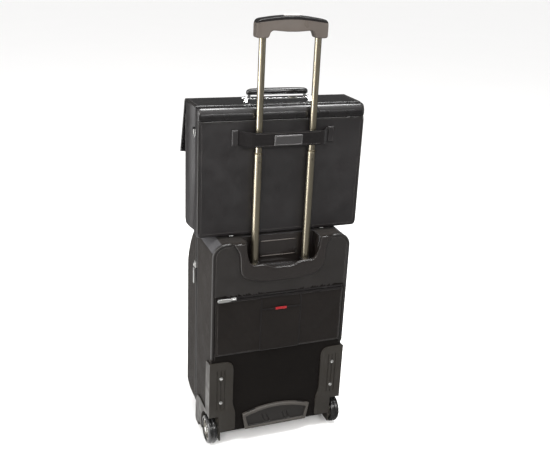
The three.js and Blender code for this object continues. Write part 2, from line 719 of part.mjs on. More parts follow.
function makeBriefcasePocket() {
  const back = briefcaseFront - gap
  const top = briefcaseBase + briefcasePocketHeight
  const base = briefcaseBase - pocketLift
  const profile = (inset, lift) => outline([
    [back - inset, top + lift], [back - 22 + inset, top + lift, 4], [back - 25 + inset, top - 100, 30],
    [back - 49 + inset, base + 26, 12], [back - 45 + inset, base + inset, 8], [back - inset, base + inset, 4],
  ])
  const half = halfBriefcase - gussetInset
  const pocket = alongX(profile(0, 0), -half, half, 2)
    .subtract(alongX(profile(leatherWall, 9), leatherWall - half, half - leatherWall))
  const catchZ = flapTop - flapDrop + 12
  const lockCatch = box(-9, 9, back - 27, back - 21, catchZ, catchZ + 18)
  place('briefcase_pocket', pocket.add(lockCatch), leather)
}

function makeFlap() {
  const lower = flapTop - flapDrop
  const profile = outline([
    [flapHingeY, flapTop - flapThickness], [flapHingeY, flapTop, 1.5],
    [flapFront, flapTop, 10], [flapFront - flapFlare, lower + 1, 2],
    [flapFront - flapFlare + flapThickness, lower, 2],
    [flapFront + flapThickness + 0.5, flapTop - flapThickness, 5],
  ])
  place('briefcase_flap', alongX(profile, -halfBriefcase, halfBriefcase), glossLeather)

  const slope = Math.atan2(flapFlare, flapDrop)
  const lock = new THREE.BoxGeometry(34, 4, 30).rotateX(-slope)
  const along = 0.87
  lock.translate(0, flapFront - flapFlare * along - 3.4, flapTop - flapDrop * along)
  place('flap_lock', solid(lock), steel)
}

function makeCarryHandle() {
  const y = flapHingeY - 30
  const pivotZ = flapTop + 8
  const half = carryBracketSpacing / 2
  const bracket = alongX(outline([
    [y - 9, flapTop + gap, 1], [y + 9, flapTop + gap, 1], [y + 5, pivotZ + 5, 4], [y - 5, pivotZ + 5, 4],
  ]), half - 4, half + 4).subtract(rodX(2.5 + runningGap, half - 9, half + 9, y, pivotZ, 16))
  placePair('handle_bracket', bracket, chrome)
  const bar = rodX(2.5, -half - 6, half + 6, y, pivotZ, 12)
    .add(box(half - 14, half - 9, y - 2.5, y + 2.5, pivotZ - 1, pivotZ + 12))
    .add(box(9 - half, 14 - half, y - 2.5, y + 2.5, pivotZ - 1, pivotZ + 12))
  place('carry_bar', bar, chrome)
  const grip = outline([
    [-half + 4, pivotZ + 9, 7], [-half + 24, pivotZ + 6, 8], [half - 24, pivotZ + 6, 8],
    [half - 4, pivotZ + 9, 7], [half - 6, pivotZ + 25, 8], [-half + 6, pivotZ + 25, 8],
  ])
  const socket = box(half - 15, half - 8, y - 3, y + 3, pivotZ, pivotZ + 12 + gap)
    .add(box(8 - half, 15 - half, y - 3, y + 3, pivotZ, pivotZ + 12 + gap))
  place('carry_grip', alongY(grip, y - 11, y + 11, 2).subtract(socket), glossLeather)
}

function makeStrap() {
  const flatHalf = halfGrip + 6
  const endHalf = flatHalf + 22
  const base = briefcaseBack + gap
  const outerBand = symmetric([
    [endHalf + 1, base], [endHalf + 1, base + strapThickness, 1], [endHalf - 1, base + strapThickness, 3],
    [flatHalf + 1, strapY + strapThickness, 8],
  ])
  const inner = symmetric([
    [endHalf - 2.5, base - 5], [endHalf - 3, base, 2], [flatHalf - 1.5, strapY, 8],
  ])
  const strap = alongZ(outerBand, strapBase, strapBase + strapHeight)
    .subtract(alongZ(inner, strapBase - 1, strapBase + strapHeight + 1))
  const band = strap.intersect(box(-endHalf - 9, endHalf + 9, base - 1, strapY + 9, 0, flapTop))
  const patch = outline([
    [endHalf - 1, strapBase - 2, 3], [endHalf + patchWidth - 1, strapBase - 2, 3],
    [endHalf + patchWidth - 1, strapBase + strapHeight + 2, 3], [endHalf - 1, strapBase + strapHeight + 2, 3],
  ])
  const ends = alongY(patch, base, base + 4)
  place('trolley_strap', band.add(ends).add(ends.mirror([1, 0, 0])), webbing)
  const plateY = strapY + strapThickness + gap
  const plate = symmetric([[plateHalfLength, strapBase + 2, 2], [plateHalfLength, strapBase + 27, 2]])
  place('strap_plate', alongY(plate, plateY, plateY + 2, 0.6), gunmetal)
}

function makeRings() {
  const half = 10
  const bar = 3
  const ring = (inset) => outline([
    [ringY - half + inset, ringZ + bar / 2 - inset], [ringY + half - inset, ringZ + bar / 2 - inset],
    [ringY + half - inset, ringZ - 9, 4], [ringY, ringZ - 22 + inset * 1.1, 6],
    [ringY - half + inset, ringZ - 9, 4],
  ])
  const dRing = alongX(ring(0), ringX - bar / 2, ringX + bar / 2)
    .subtract(alongX(ring(bar), ringX - bar, ringX + bar))
  placePair('d_ring', dRing, steel)
}

makeShell()
makeLid()
makeZips()
makeBackPocket()
makeFrontPocket()
makeHousings()
makeWheels()
makeSkidGuard()
makeFeet()
makeBezel()
makeTubes()
makeGrip()
makeTopHandle()
makeBriefcaseBody()
makeBriefcasePocket()
makeFlap()
makeCarryHandle()
makeStrap()
makeRings()

export default object
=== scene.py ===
import math

import bmesh
import bpy
import numpy as np
from mathutils import Matrix, Vector, noise


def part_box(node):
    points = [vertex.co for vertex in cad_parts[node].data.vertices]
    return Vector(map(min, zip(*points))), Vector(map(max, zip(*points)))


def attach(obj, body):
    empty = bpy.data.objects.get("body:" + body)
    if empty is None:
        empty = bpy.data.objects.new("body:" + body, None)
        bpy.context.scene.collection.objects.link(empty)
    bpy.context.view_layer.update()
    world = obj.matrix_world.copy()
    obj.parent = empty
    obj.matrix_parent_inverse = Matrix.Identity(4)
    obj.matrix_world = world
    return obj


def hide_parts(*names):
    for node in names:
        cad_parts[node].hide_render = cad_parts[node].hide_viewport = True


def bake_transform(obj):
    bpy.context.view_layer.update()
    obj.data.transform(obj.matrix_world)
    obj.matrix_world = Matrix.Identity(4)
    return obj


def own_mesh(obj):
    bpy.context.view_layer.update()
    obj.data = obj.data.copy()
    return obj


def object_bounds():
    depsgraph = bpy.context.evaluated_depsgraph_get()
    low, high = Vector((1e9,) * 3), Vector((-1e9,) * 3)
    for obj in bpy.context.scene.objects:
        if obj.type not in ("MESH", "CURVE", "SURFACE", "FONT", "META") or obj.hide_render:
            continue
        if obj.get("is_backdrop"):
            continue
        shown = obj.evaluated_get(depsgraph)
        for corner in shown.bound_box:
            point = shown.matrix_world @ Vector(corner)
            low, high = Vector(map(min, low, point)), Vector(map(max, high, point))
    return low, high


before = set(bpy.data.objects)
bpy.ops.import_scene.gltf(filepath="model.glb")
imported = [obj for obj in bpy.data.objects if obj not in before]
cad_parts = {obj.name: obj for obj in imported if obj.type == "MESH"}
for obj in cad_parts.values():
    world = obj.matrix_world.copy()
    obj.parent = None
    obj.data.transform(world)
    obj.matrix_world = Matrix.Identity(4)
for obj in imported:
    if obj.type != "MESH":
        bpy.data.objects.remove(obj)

MM = 0.001
SIDES = (("left", 1), ("right", -1))
cad_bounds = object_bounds()


# ------------------------------------------------------------------ places, in millimetres, from the frame

def span(node):
    """Lowest and highest corner of a CAD node, in millimetres."""
    low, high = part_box(node)
    return np.array(low) / MM, np.array(high) / MM


shell_low, shell_high = span("case_shell")
lid_low, lid_high = span("lid_shell")
tape_low, tape_high = span("zip_tape_shell")
lid_tape_low, lid_tape_high = span("zip_tape_lid")
HALF_CASE = shell_high[0]
CASE_BASE, CASE_TOP = shell_low[2], shell_high[2]
BACK = shell_high[1]
SHELL_FRONT = shell_low[1]
LID_BACK, LID_FRONT = lid_high[1], lid_low[1]
ZIP_Y = (SHELL_FRONT + LID_BACK) / 2
TOP_CORNER, BASE_CORNER = 34.0, 24.0

body_low, body_high = span("briefcase_body")
flap_low, flap_high = span("briefcase_flap")
pouch_low, pouch_high = span("briefcase_pocket")
HALF_BRIEFCASE = body_high[0]
BRIEFCASE_BASE = body_low[2]
BRIEFCASE_FRONT, BRIEFCASE_BACK = body_low[1], body_high[1]
FLAP_TOP = flap_high[2]
FLAP_HINGE = flap_high[1]
MOUTH = FLAP_TOP - 4.3


# ------------------------------------------------------------------ camera, lights and floor

def add_camera():
    camera = bpy.data.cameras.new("camera")
    camera.sensor_width = 36.0
    camera.lens = 48.66
    camera.clip_end = 50.0
    thing = bpy.data.objects.new("camera", camera)
    bpy.context.scene.collection.objects.link(thing)
    yaw, pitch, roll = math.radians(-21.32), math.radians(20.5), math.radians(2.685)
    forward = Vector((math.sin(yaw) * math.cos(pitch), -math.cos(yaw) * math.cos(pitch), -math.sin(pitch)))
    level = forward.cross(Vector((0, 0, 1))).normalized()
    upright = level.cross(forward)
    right = level * math.cos(roll) + upright * math.sin(roll)
    up = upright * math.cos(roll) - level * math.sin(roll)
    turn = Matrix((right, up, -forward)).transposed().to_4x4()
    place = (0.6352, 1.5628 + BACK * MM, 1.2340)
    thing.matrix_world = Matrix.Translation(place) @ turn
    bpy.context.scene.camera = thing


def add_light(name, place, aim, size, power, colour=(1, 1, 1), diffuse=1.0):
    light = bpy.data.lights.new(name, "AREA")
    light.shape = "RECTANGLE"
    light.size, light.size_y = size
    light.energy = power
    light.diffuse_factor = diffuse
    light.color = colour
    thing = bpy.data.objects.new(name, light)
    bpy.context.scene.collection.objects.link(thing)
    thing.location = place
    thing.rotation_euler = (Vector(aim) - Vector(place)).to_track_quat("-Z", "Y").to_euler()


def add_node(tree, kind, inputs=(), **settings):
    """A node with its settings. An input is a value, or another node's socket to link from."""
    made = tree.nodes.new(kind)
    for key, value in settings.items():
        setattr(made, key, value)
    for socket, value in dict(inputs).items():
        if isinstance(value, bpy.types.NodeSocket):
            tree.links.new(value, made.inputs[socket])
        else:
            made.inputs[socket].default_value = value
    return made


def reflected(tree, place, plain, dark, bright):
    """A brightness that reflections see as dark, but for a bright band on the +X side: light in the world,
    painted shade and a painted light band in the floor's colour.
    """
    level = add_node(tree, "ShaderNodeVectorMath", {0: place, 1: (1, 1, 0)}, operation="MULTIPLY")
    unit = add_node(tree, "ShaderNodeVectorMath", {0: level.outputs[0]}, operation="NORMALIZE")
    parts = add_node(tree, "ShaderNodeSeparateXYZ", {0: unit.outputs[0]})
    band = {"Value": parts.outputs["X"], "From Min": 0.62, "From Max": 0.86, "To Min": dark, "To Max": bright}
    seen = add_node(tree, "ShaderNodeMapRange", band, interpolation_type="SMOOTHSTEP").outputs["Result"]
    glossy = add_node(tree, "ShaderNodeLightPath").outputs["Is Glossy Ray"]
    return add_node(tree, "ShaderNodeMix", {0: glossy, 2: plain, 3: seen}).outputs[0]


def add_studio():
    scene = bpy.context.scene
    scene.view_settings.view_transform = "Standard"
    world = bpy.data.worlds.new("studio")
    scene.world = world
    world.use_nodes = True
    tree = world.node_tree
    background = tree.nodes["Background"]
    background.inputs["Color"].default_value = (1, 1, 1, 1)
    strength = reflected(tree, tree.nodes.new("ShaderNodeTexCoord").outputs["Generated"], 1.05, 0.10, 1.1)
    tree.links.new(strength, background.inputs["Strength"])
    add_light("key", (2.0, 2.8, 2.2), (0, 0, 0.6), (0.9, 1.3), 50, (1.0, 0.97, 0.93))
    add_light("side", (2.6, 0.35, 0.9), (0, 0, 0.6), (0.7, 2.0), 60, diffuse=0.35)
    add_light("top", (-0.35, 0.6, 2.9), (0, 0, 0.8), (1.9, 0.6), 80)
    add_light("left", (-2.4, 1.6, 1.4), (0, 0, 0.6), (0.4, 1.8), 6)
    add_light("strip", (-0.75, 3.0, 2.15), (0.05, 0.08, 0.87), (1.7, 0.36), 48)
    floor = mesh_object("floor", *flat_grid(-40, 40, -40, 40), "floor")
    floor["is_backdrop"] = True


# ------------------------------------------------------------------ materials

class Look:
    """A material and short calls for its node tree. Patterns read object coordinates, in metres."""

    def __init__(self, name, colour, roughness, metallic=0.0, specular=0.5):
        self.material = bpy.data.materials.new(name)
        self.material.use_nodes = True
        self.tree = self.material.node_tree
        self.shader = self.tree.nodes["Principled BSDF"]
        self.put("Base Color", (*colour, 1))
        self.put("Roughness", roughness)
        self.put("Metallic", metallic)
        self.put("Specular IOR Level", specular)
        self.colour = colour
        self.normal = None

    def put(self, name, value):
        self.shader.inputs[name].default_value = value

    def node(self, kind, inputs=(), **settings):
        return add_node(self.tree, kind, inputs, **settings)

    def place(self, stretch=(1, 1, 1)):
        coordinates = self.node("ShaderNodeTexCoord")
        return self.vector("MULTIPLY", coordinates.outputs["Object"], stretch)

    def vector(self, operation, a, b=None):
        values = {0: a} if b is None else {0: a, 1: b}
        made = self.node("ShaderNodeVectorMath", values, operation=operation)
        return made.outputs["Value" if operation == "DOT_PRODUCT" else "Vector"]

    def noise(self, scale, detail=3.0, stretch=(1, 1, 1), roughness=0.55):
        inputs = {"Vector": self.place(stretch), "Scale": scale, "Detail": detail, "Roughness": roughness}
        return self.node("ShaderNodeTexNoise", inputs).outputs["Fac"]

    def cells(self, scale, feature="F1"):
        inputs = {"Vector": self.place(), "Scale": scale}
        return self.node("ShaderNodeTexVoronoi", inputs, feature=feature).outputs["Distance"]

    def remap(self, value, low, high, to_low=0.0, to_high=1.0):
        inputs = {"Value": value, "From Min": low, "From Max": high, "To Min": to_low, "To Max": to_high}
        return self.node("ShaderNodeMapRange", inputs).outputs["Result"]

    def threads(self, pitch):
        """A plain weave that faces the way the surface does: its height, from -1 to 1."""
        waves = self.vector("SINE", self.place([2 * math.pi / (pitch * MM)] * 3))
        parts = self.node("ShaderNodeSeparateXYZ", {0: waves}).outputs
        one = self.node("ShaderNodeCombineXYZ", {0: parts[1], 1: parts[2], 2: parts[0]}).outputs[0]
        two = self.node("ShaderNodeCombineXYZ", {0: parts[2], 1: parts[0], 2: parts[1]}).outputs[0]
        facing = self.vector("ABSOLUTE", self.node("ShaderNodeTexCoord").outputs["Normal"])
        facing = self.vector("MULTIPLY", facing, facing)
        return self.vector("DOT_PRODUCT", self.vector("MULTIPLY", one, two), facing)

    def tint(self, factor, other):
        """The base colour turns to another one as factor goes from 0 to 1."""
        before = self.shader.inputs["Base Color"]
        mixed = self.node("ShaderNodeMix", {0: factor}, data_type="RGBA")
        if before.is_linked:
            self.tree.links.new(before.links[0].from_socket, mixed.inputs[6])
        else:
            mixed.inputs[6].default_value = before.default_value
        mixed.inputs[7].default_value = (*other, 1)
        self.tree.links.new(mixed.outputs[2], before)

    def rough(self, value):
        self.tree.links.new(value, self.shader.inputs["Roughness"])

    def bump(self, height, distance, strength=1.0):
        """Distance is in millimetres; bumps add up."""
        inputs = {"Height": height, "Distance": distance * MM, "Strength": strength}
        if self.normal is not None:
            inputs["Normal"] = self.normal
        self.normal = self.node("ShaderNodeBump", inputs).outputs["Normal"]
        self.tree.links.new(self.normal, self.shader.inputs["Normal"])


def fabric(name, colour, pitch, sheen=0.25, roughness=0.8, dust=0.5):
    look = Look(name, colour, roughness, specular=0.07)
    look.put("Sheen Weight", sheen)
    look.put("Sheen Roughness", 0.45)
    weave = look.threads(pitch)
    look.tint(look.remap(weave, -0.2, 1.0, 0.0, 0.55), [c * 1.9 + 0.0015 for c in colour])
    look.tint(look.remap(look.noise(6.0, 4.0), 0.4, 0.75, 0.0, 0.5), [c * 1.5 + 0.001 for c in colour])
    specks = look.remap(look.noise(900.0, 2.0), 0.68, 0.8, 0.0, dust)
    look.tint(specks, [c * 3 + 0.015 for c in colour])
    look.rough(look.remap(look.noise(25.0, 3.0), 0.3, 0.7, roughness - 0.1, roughness + 0.1))
    look.bump(weave, 0.12, 0.6)
    look.bump(look.noise(45.0, 3.0), 0.8, 0.25)
    return look.material


def hide(name, colour, roughness, grain=1.0, coat=0.0, variation=0.5, vary=0.08):
    look = Look(name, colour, roughness, specular=0.5)
    look.put("Coat Weight", coat)
    look.put("Coat Roughness", 0.12)
    grains = look.cells(750.0, "DISTANCE_TO_EDGE")
    creases = look.noise(70.0, 4.0, (1, 1, 1), 0.6)
    worn = look.noise(9.0, 4.0)
    look.tint(look.remap(worn, 0.45, 0.75, 0.0, variation), [c * 1.8 + 0.002 for c in colour])
    look.tint(look.remap(grains, 0.0, 0.06, 0.6, 0.0), [c * 0.5 for c in colour])
    look.rough(look.remap(look.noise(30.0, 2.0), 0.3, 0.7, roughness - vary, roughness + vary))
    look.bump(look.remap(grains, 0.0, 0.16), 0.1 * grain, 0.55)
    look.bump(creases, 0.5 * grain, 0.3)
    return look.material


def moulded(name, colour, roughness, texture=1.0, scuffs=0.5, vary=0.1, coat=0.0):
    look = Look(name, colour, roughness, specular=0.45)
    look.put("Coat Weight", coat)
    look.put("Coat Roughness", 0.2)
    look.tint(look.remap(look.noise(12.0, 4.0), 0.35, 0.75, 0.0, 0.6), [c * 1.35 for c in colour])
    scratched = look.remap(look.noise(120.0, 5.0, (1, 1, 0.25)), 0.62, 0.78, 0.0, scuffs)
    look.tint(scratched, [c * 1.8 + 0.02 for c in colour])
    look.rough(look.remap(look.noise(45.0, 1.0), 0.3, 0.7, roughness - vary, roughness + vary))
    look.bump(look.noise(1400.0, 2.0), 0.06 * texture, 0.5)
    look.bump(look.noise(18.0, 2.0), 0.5, 0.08)
    return look.material


def metal(name, colour, roughness, brush=(1, 1, 1), marks=0.3, coat=0.0):
    look = Look(name, colour, roughness, metallic=1.0)
    look.put("Coat Weight", coat)
    look.put("Coat Roughness", 0.15)
    grain = look.noise(400.0, 3.0, brush)
    look.tint(look.remap(look.noise(14.0, 3.0), 0.35, 0.7, 0.0, 0.5), [c * 0.8 for c in colour])
    look.tint(look.remap(grain, 0.55, 0.75, 0.0, marks), [c * 0.6 for c in colour])
    look.rough(look.remap(grain, 0.3, 0.7, max(roughness - 0.06, 0.02), roughness + 0.1))
    look.bump(grain, 0.02, 0.35)
    return look.material


def rubber():
    look = Look("tyre_rubber", (0.006, 0.006, 0.006), 0.22, specular=0.6)
    look.tint(look.remap(look.noise(90.0, 4.0), 0.5, 0.8, 0.0, 0.6), (0.03, 0.028, 0.026))
    look.rough(look.remap(look.noise(50.0, 3.0), 0.3, 0.7, 0.14, 0.34))
    look.bump(look.noise(700.0, 2.0), 0.05, 0.4)
    return look.material


def studio_floor():
    look = Look("floor_paper", (0.93, 0.925, 0.92), 0.7, specular=0.1)
    look.tint(look.remap(look.noise(1.5, 2.0), 0.4, 0.8, 0.0, 0.3), (0.95, 0.945, 0.94))
    position = look.node("ShaderNodeNewGeometry").outputs["Position"]
    # Painted reflection: glossy rays see the floor's colour as dark, with a painted light band on the +X side
    # that the tubes show as their bright stripe.
    shade = reflected(look.tree, position, 1.0, 0.12, 1.0)
    base = look.shader.inputs["Base Color"]
    dimmed = look.vector("SCALE", base.links[0].from_socket)
    look.tree.links.new(shade, dimmed.node.inputs["Scale"])
    look.tree.links.new(dimmed, base)
    return look.material


MATERIALS = {}


def make_materials():
    MATERIALS.update({
        "nylon": fabric("ballistic_nylon", (0.0112, 0.0094, 0.0082), 1.5, sheen=0.04),
        "pocket_nylon": fabric("pocket_nylon", (0.0056, 0.0044, 0.0038), 1.1, sheen=0.06, roughness=0.62),
        "back_nylon": fabric("lower_back_nylon", (0.0026, 0.0019, 0.0015), 1.5, sheen=0.03),
        "lining": fabric("lining_cloth", (0.035, 0.034, 0.036), 0.9, sheen=0.1),
        "webbing": fabric("webbing", (0.0055, 0.0048, 0.0048), 1.3, sheen=0.05),
        "leatherette": hide("leatherette", (0.0098, 0.0080, 0.0070), 0.5, 0.8, variation=0.3),
        "leather": hide("briefcase_leather", (0.0084, 0.0072, 0.0074), 0.42),
        "gloss_leather": hide("glazed_leather", (0.0040, 0.0034, 0.0036), 0.28, 0.4, coat=0.4, vary=0.04),
        "piping": hide("piping_leather", (0.0100, 0.0088, 0.0080), 0.36, 0.5),
        "housing_plastic": moulded("housing_plastic", (0.0155, 0.0132, 0.0104), 0.45),
        # The skid guard's two copies of one plastic: the lighter one is a painted highlight, the darker one
        # painted shade.
        "guard_plastic": moulded("guard_plastic", (0.036, 0.032, 0.028), 0.45),
        "guard_panel_painted_shade": moulded("guard_panel_painted_shade", (0.011, 0.0098, 0.009), 0.42),
        "bezel_plastic": moulded("bezel_plastic", (0.0085, 0.0066, 0.0058), 0.3, 0.04, 0.0, 0.02, coat=0.5),
        "black_plastic": moulded("black_plastic", (0.007, 0.006, 0.006), 0.25, 0.05, scuffs=0.0, vary=0.02),
        "grip_plastic": moulded("grip_plastic", (0.062, 0.052, 0.045), 0.36, 0.8, scuffs=0.2),
        "button_plastic": moulded("button_plastic", (0.45, 0.43, 0.42), 0.35, 0.5, scuffs=0.1),
        "aluminium": metal("anodised_aluminium", (0.36, 0.32, 0.235), 0.3, (1, 1, 0.02), 0.15, coat=0.6),
        "collar_metal": metal("collar_metal", (0.17, 0.145, 0.10), 0.3, (1, 1, 0.02), 0.2),
        "steel": metal("plated_steel", (0.80, 0.80, 0.78), 0.34),
        "chrome": metal("chrome_plate", (0.86, 0.86, 0.85), 0.07, marks=0.1),
        "gunmetal": metal("gunmetal_plate", (0.16, 0.155, 0.155), 0.42, (1, 1, 1), 0.6),
        "hub_plastic": metal("silvered_hub", (0.62, 0.60, 0.56), 0.28),
        "tyre": rubber(),
        "floor": studio_floor(),
        "red": fabric("red_label", (0.16, 0.008, 0.010), 0.8, sheen=0.1),
        "thread": fabric("dark_thread", (0.05, 0.046, 0.044), 0.5, sheen=0.2),
    })


# ------------------------------------------------------------------ meshes

def mesh_object(name, points, faces, material, smooth=True):
    """A mesh object from points in metres."""
    mesh = bpy.data.meshes.new(name)
    mesh.from_pydata([tuple(p) for p in points], [], [tuple(f) for f in faces])
    mesh.polygons.foreach_set("use_smooth", [smooth] * len(mesh.polygons))
    mesh.materials.append(MATERIALS[material])
    mesh.update()
    thing = bpy.data.objects.new(name, mesh)
    bpy.context.scene.collection.objects.link(thing)
    return thing


def flat_grid(x0, x1, y0, y1, steps=2):
    xs, ys = np.linspace(x0, x1, steps + 1), np.linspace(y0, y1, steps + 1)
    points = [(x, y, 0.0) for y in ys for x in xs]
    return points, grid_faces(steps + 1, steps + 1)


def grid_faces(rows, columns, closed=False):
    """Quads between rows of points; closed joins each row's last column to its first."""
    faces = []
    for r in range(rows - 1):
        for c in range(columns if closed else columns - 1):
            d = (c + 1) % columns
            faces.append((r * columns + c, r * columns + d, (r + 1) * columns + d, (r + 1) * columns + c))
    return faces


def sheet_faces(rows, columns):
    """Faces of a thin closed sheet: one grid of points, a second one behind it, and the rim between."""
    count = rows * columns
    front = grid_faces(rows, columns)
    back = [tuple(count + i for i in reversed(face)) for face in front]
    edge = list(range(columns)) + [r * columns + columns - 1 for r in range(1, rows)]
    edge += [(rows - 1) * columns + c for c in range(columns - 2, -1, -1)]
    edge += [r * columns for r in range(rows - 2, 0, -1)]
    return front + back + [(a, b, count + b, count + a) for a, b in zip(edge, edge[1:] + edge[:1])]


def lofted(name, rings, material, caps=(True, True)):
    """A skin over rings of equally many points, in millimetres, with its ends filled."""
    rings = [np.asarray(ring, float) for ring in rings]
    count = len(rings[0])
    points = np.vstack(rings) * MM
    faces = grid_faces(len(rings), count, closed=True)
    if caps[0]:
        faces.append(tuple(reversed(range(count))))
    if caps[1]:
        faces.append(tuple(range((len(rings) - 1) * count, len(rings) * count)))
    thing = mesh_object(name, points, faces, material)
    face_outward(thing)
    return thing


def face_outward(thing):
    shape = bmesh.new()
    shape.from_mesh(thing.data)
    bmesh.ops.recalc_face_normals(shape, faces=shape.faces)
    shape.to_mesh(thing.data)
    shape.free()


def apply_modifiers(thing):
    bpy.context.view_layer.update()
    graph = bpy.context.evaluated_depsgraph_get()
    mesh = bpy.data.meshes.new_from_object(thing.evaluated_get(graph))
    mesh.name = thing.name
    thing.modifiers.clear()
    thing.data = mesh
    return thing


def modify(thing, kind, **settings):
    modifier = thing.modifiers.new(kind.lower(), kind)
    for key, value in settings.items():
        setattr(modifier, key, value)
    return modifier


def cut(thing, *cutters):
    for cutter in cutters:
        modify(thing, "BOOLEAN", operation="DIFFERENCE", object=cutter, solver="EXACT")
    apply_modifiers(thing)
    for cutter in cutters:
        bpy.data.objects.remove(cutter)
    return thing


def prism(name, outline, axis, low, high):
    """A straight solid: an outline in the other two axes, in millimetres, from low to high along axis."""
    rings = []
    for along in (low, high):
        rings.append([np.insert(np.array(p, float), axis, along) for p in outline])
    return lofted(name, rings, "lining")


def arc(centre, radius, start, end, steps=6):
    angles = np.radians(np.linspace(start, end, steps + 1))
    return [(centre[0] + radius * math.cos(a), centre[1] + radius * math.sin(a)) for a in angles]


def ramp(distance, width):
    """From 0 to 1 over a width."""
    return min(max(distance / width, 0), 1)


def across(x0, x1, y, z, count):
    return [(x, y, z) for x in np.linspace(x0, x1, count)]


def upwards(x, y, z0, z1, count):
    return [(x, y, z) for z in np.linspace(z0, z1, count)]


def rounded_loop(half, base, top, base_corner, top_corner, inset=0.0, counts=(26, 9, 60, 10, 26)):
    """Points (x, z) round a case, from the middle of its base; equally many for every inset."""
    bottom_steps, low_steps, side_steps, high_steps, top_steps = counts
    x = half - inset
    low, high = base + inset, top - inset
    rb, rt = max(base_corner - inset, 0.4), max(top_corner - inset, 0.4)
    rb, rt = min(rb, x), min(rt, x)
    side = [(u, low) for u in np.linspace(0, x - rb, bottom_steps, endpoint=False)]
    side += arc((x - rb, low + rb), rb, -90, 0, low_steps)[:-1]
    side += [(x, w) for w in np.linspace(low + rb, high - rt, side_steps, endpoint=False)]
    side += arc((x - rt, high - rt), rt, 0, 90, high_steps)[:-1]
    side += [(u, high) for u in np.linspace(x - rt, 0, top_steps)]
    mirrored = [(-u, w) for u, w in side[-2:0:-1]]
    return np.array(side + mirrored)


def tube(name, path, radius, material, closed=False, sides=10):
    """A round length of leather or wire along points in millimetres, with rounded ends."""
    path = [Vector(p) for p in path]
    count = len(path)
    rings = []
    for i, centre in enumerate(path):
        before = path[i - 1] if i or closed else path[0]
        after = path[(i + 1) % count] if i + 1 < count or closed else path[-1]
        along = (after - before).normalized()
        side = along.orthogonal().normalized() if i == 0 else (last - along * last.dot(along)).normalized()
        last = side
        other = along.cross(side)
        r = radius if closed or 0 < i < count - 1 else radius * 0.35
        turns = np.linspace(0, 2 * math.pi, sides, endpoint=False)
        rings.append([centre + (side * math.cos(a) + other * math.sin(a)) * r for a in turns])
    if closed:
        rings.append(rings[0])
        thing = lofted(name, rings, material, caps=(False, False))
        return weld(thing)
    return lofted(name, rings, material)


def weld(thing, distance=1e-6):
    shape = bmesh.new()
    shape.from_mesh(thing.data)
    bmesh.ops.remove_doubles(shape, verts=shape.verts, dist=distance)
    bmesh.ops.recalc_face_normals(shape, faces=shape.faces)
    shape.to_mesh(thing.data)
    shape.free()
    return thing


def distances(path):
    """How far along a path each of its points is."""
    return np.concatenate([[0], np.cumsum(np.linalg.norm(np.diff(path, axis=0), axis=1))])


def sampled(places, at, values):
    """Rows of values, which are known at the distances at, for other places between them."""
    return np.stack([np.interp(places, at, column) for column in np.asarray(values).T], 1)


def evenly(path, pitch):
    """Points and directions every pitch millimetres along a path."""
    path = np.asarray(path, float)
    at = distances(path)
    count = max(int(at[-1] / pitch), 1)
    places = (np.arange(count) + 0.5) * at[-1] / count
    along = sampled(places + 0.1, at, path) - sampled(places - 0.1, at, path)
    return sampled(places, at, path), along / np.linalg.norm(along, axis=1)[:, None]


def beads(name, groups, faces, material):
    """Many small closed bodies as one mesh: a group of points for each, and the faces that all share."""
    size = len(groups[0])
    every = [tuple(k * size + i for i in face) for k in range(len(groups)) for face in faces]
    thing = mesh_object(name, np.array([p for group in groups for p in group]) * MM, every, material)
    face_outward(thing)
    return thing


def stitching(name, path, normal, pitch=4.2, length=2.9, width=0.7, proud=0.35, material="thread"):
    """A row of stitches, each a small faceted bead lying along the path."""
    points, along = evenly(path, pitch)
    normals = np.broadcast_to(np.asarray(normal, float), points.shape)
    profile = [(-0.5, 0.35), (-0.2, 1.0), (0.2, 1.0), (0.5, 0.35)]
    section = ((-1, -0.3), (-0.6, 0.7), (0.6, 0.7), (1, -0.3))
    groups = []
    for p, a, n in zip(points, along, normals):
        side = np.cross(a, n)
        groups.append([p + a * u * length + side * s * width / 2 * r + n * w * proud * r
                       for u, r in profile for s, w in section])
    return beads(name, groups, grid_faces(4, 4, closed=True) + [(3, 2, 1, 0), (12, 13, 14, 15)], material)


def finish(thing, body, slot, *nodes):
    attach(thing, body)
    if nodes:
        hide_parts(*nodes)
    return thing


def piping(name, path, radius, body, slot="leather", material="piping", sides=10):
    """Round piping sewn on along a path."""
    return finish(tube(name, path, radius, material, sides=sides), body, slot)


def sew(name, path, normal, body, slot="leather"):
    return finish(stitching(name, path, normal), body, slot)


def soften(thing, strength, size, seed=0, limit=None):
    """Small folds: the surface moves along its normals by smooth noise, in millimetres."""
    mesh = thing.data
    offset = Vector((seed * 7.3, seed * 3.1, seed * 5.7))
    moved = []
    for vertex in mesh.vertices:
        p = vertex.co / (size * MM) + offset
        amount = noise.noise(p) + 0.4 * noise.noise(p * 2.3)
        weight = 1.0 if limit is None else limit(vertex.co / MM)
        moved.append(vertex.co + vertex.normal * amount * strength * MM * weight)
    for vertex, co in zip(mesh.vertices, moved):
        vertex.co = co
    mesh.update()


# ------------------------------------------------------------------ CAD nodes that keep their shape

FLAT_ANGLE = 0.8  # degrees, below which two faces count as one


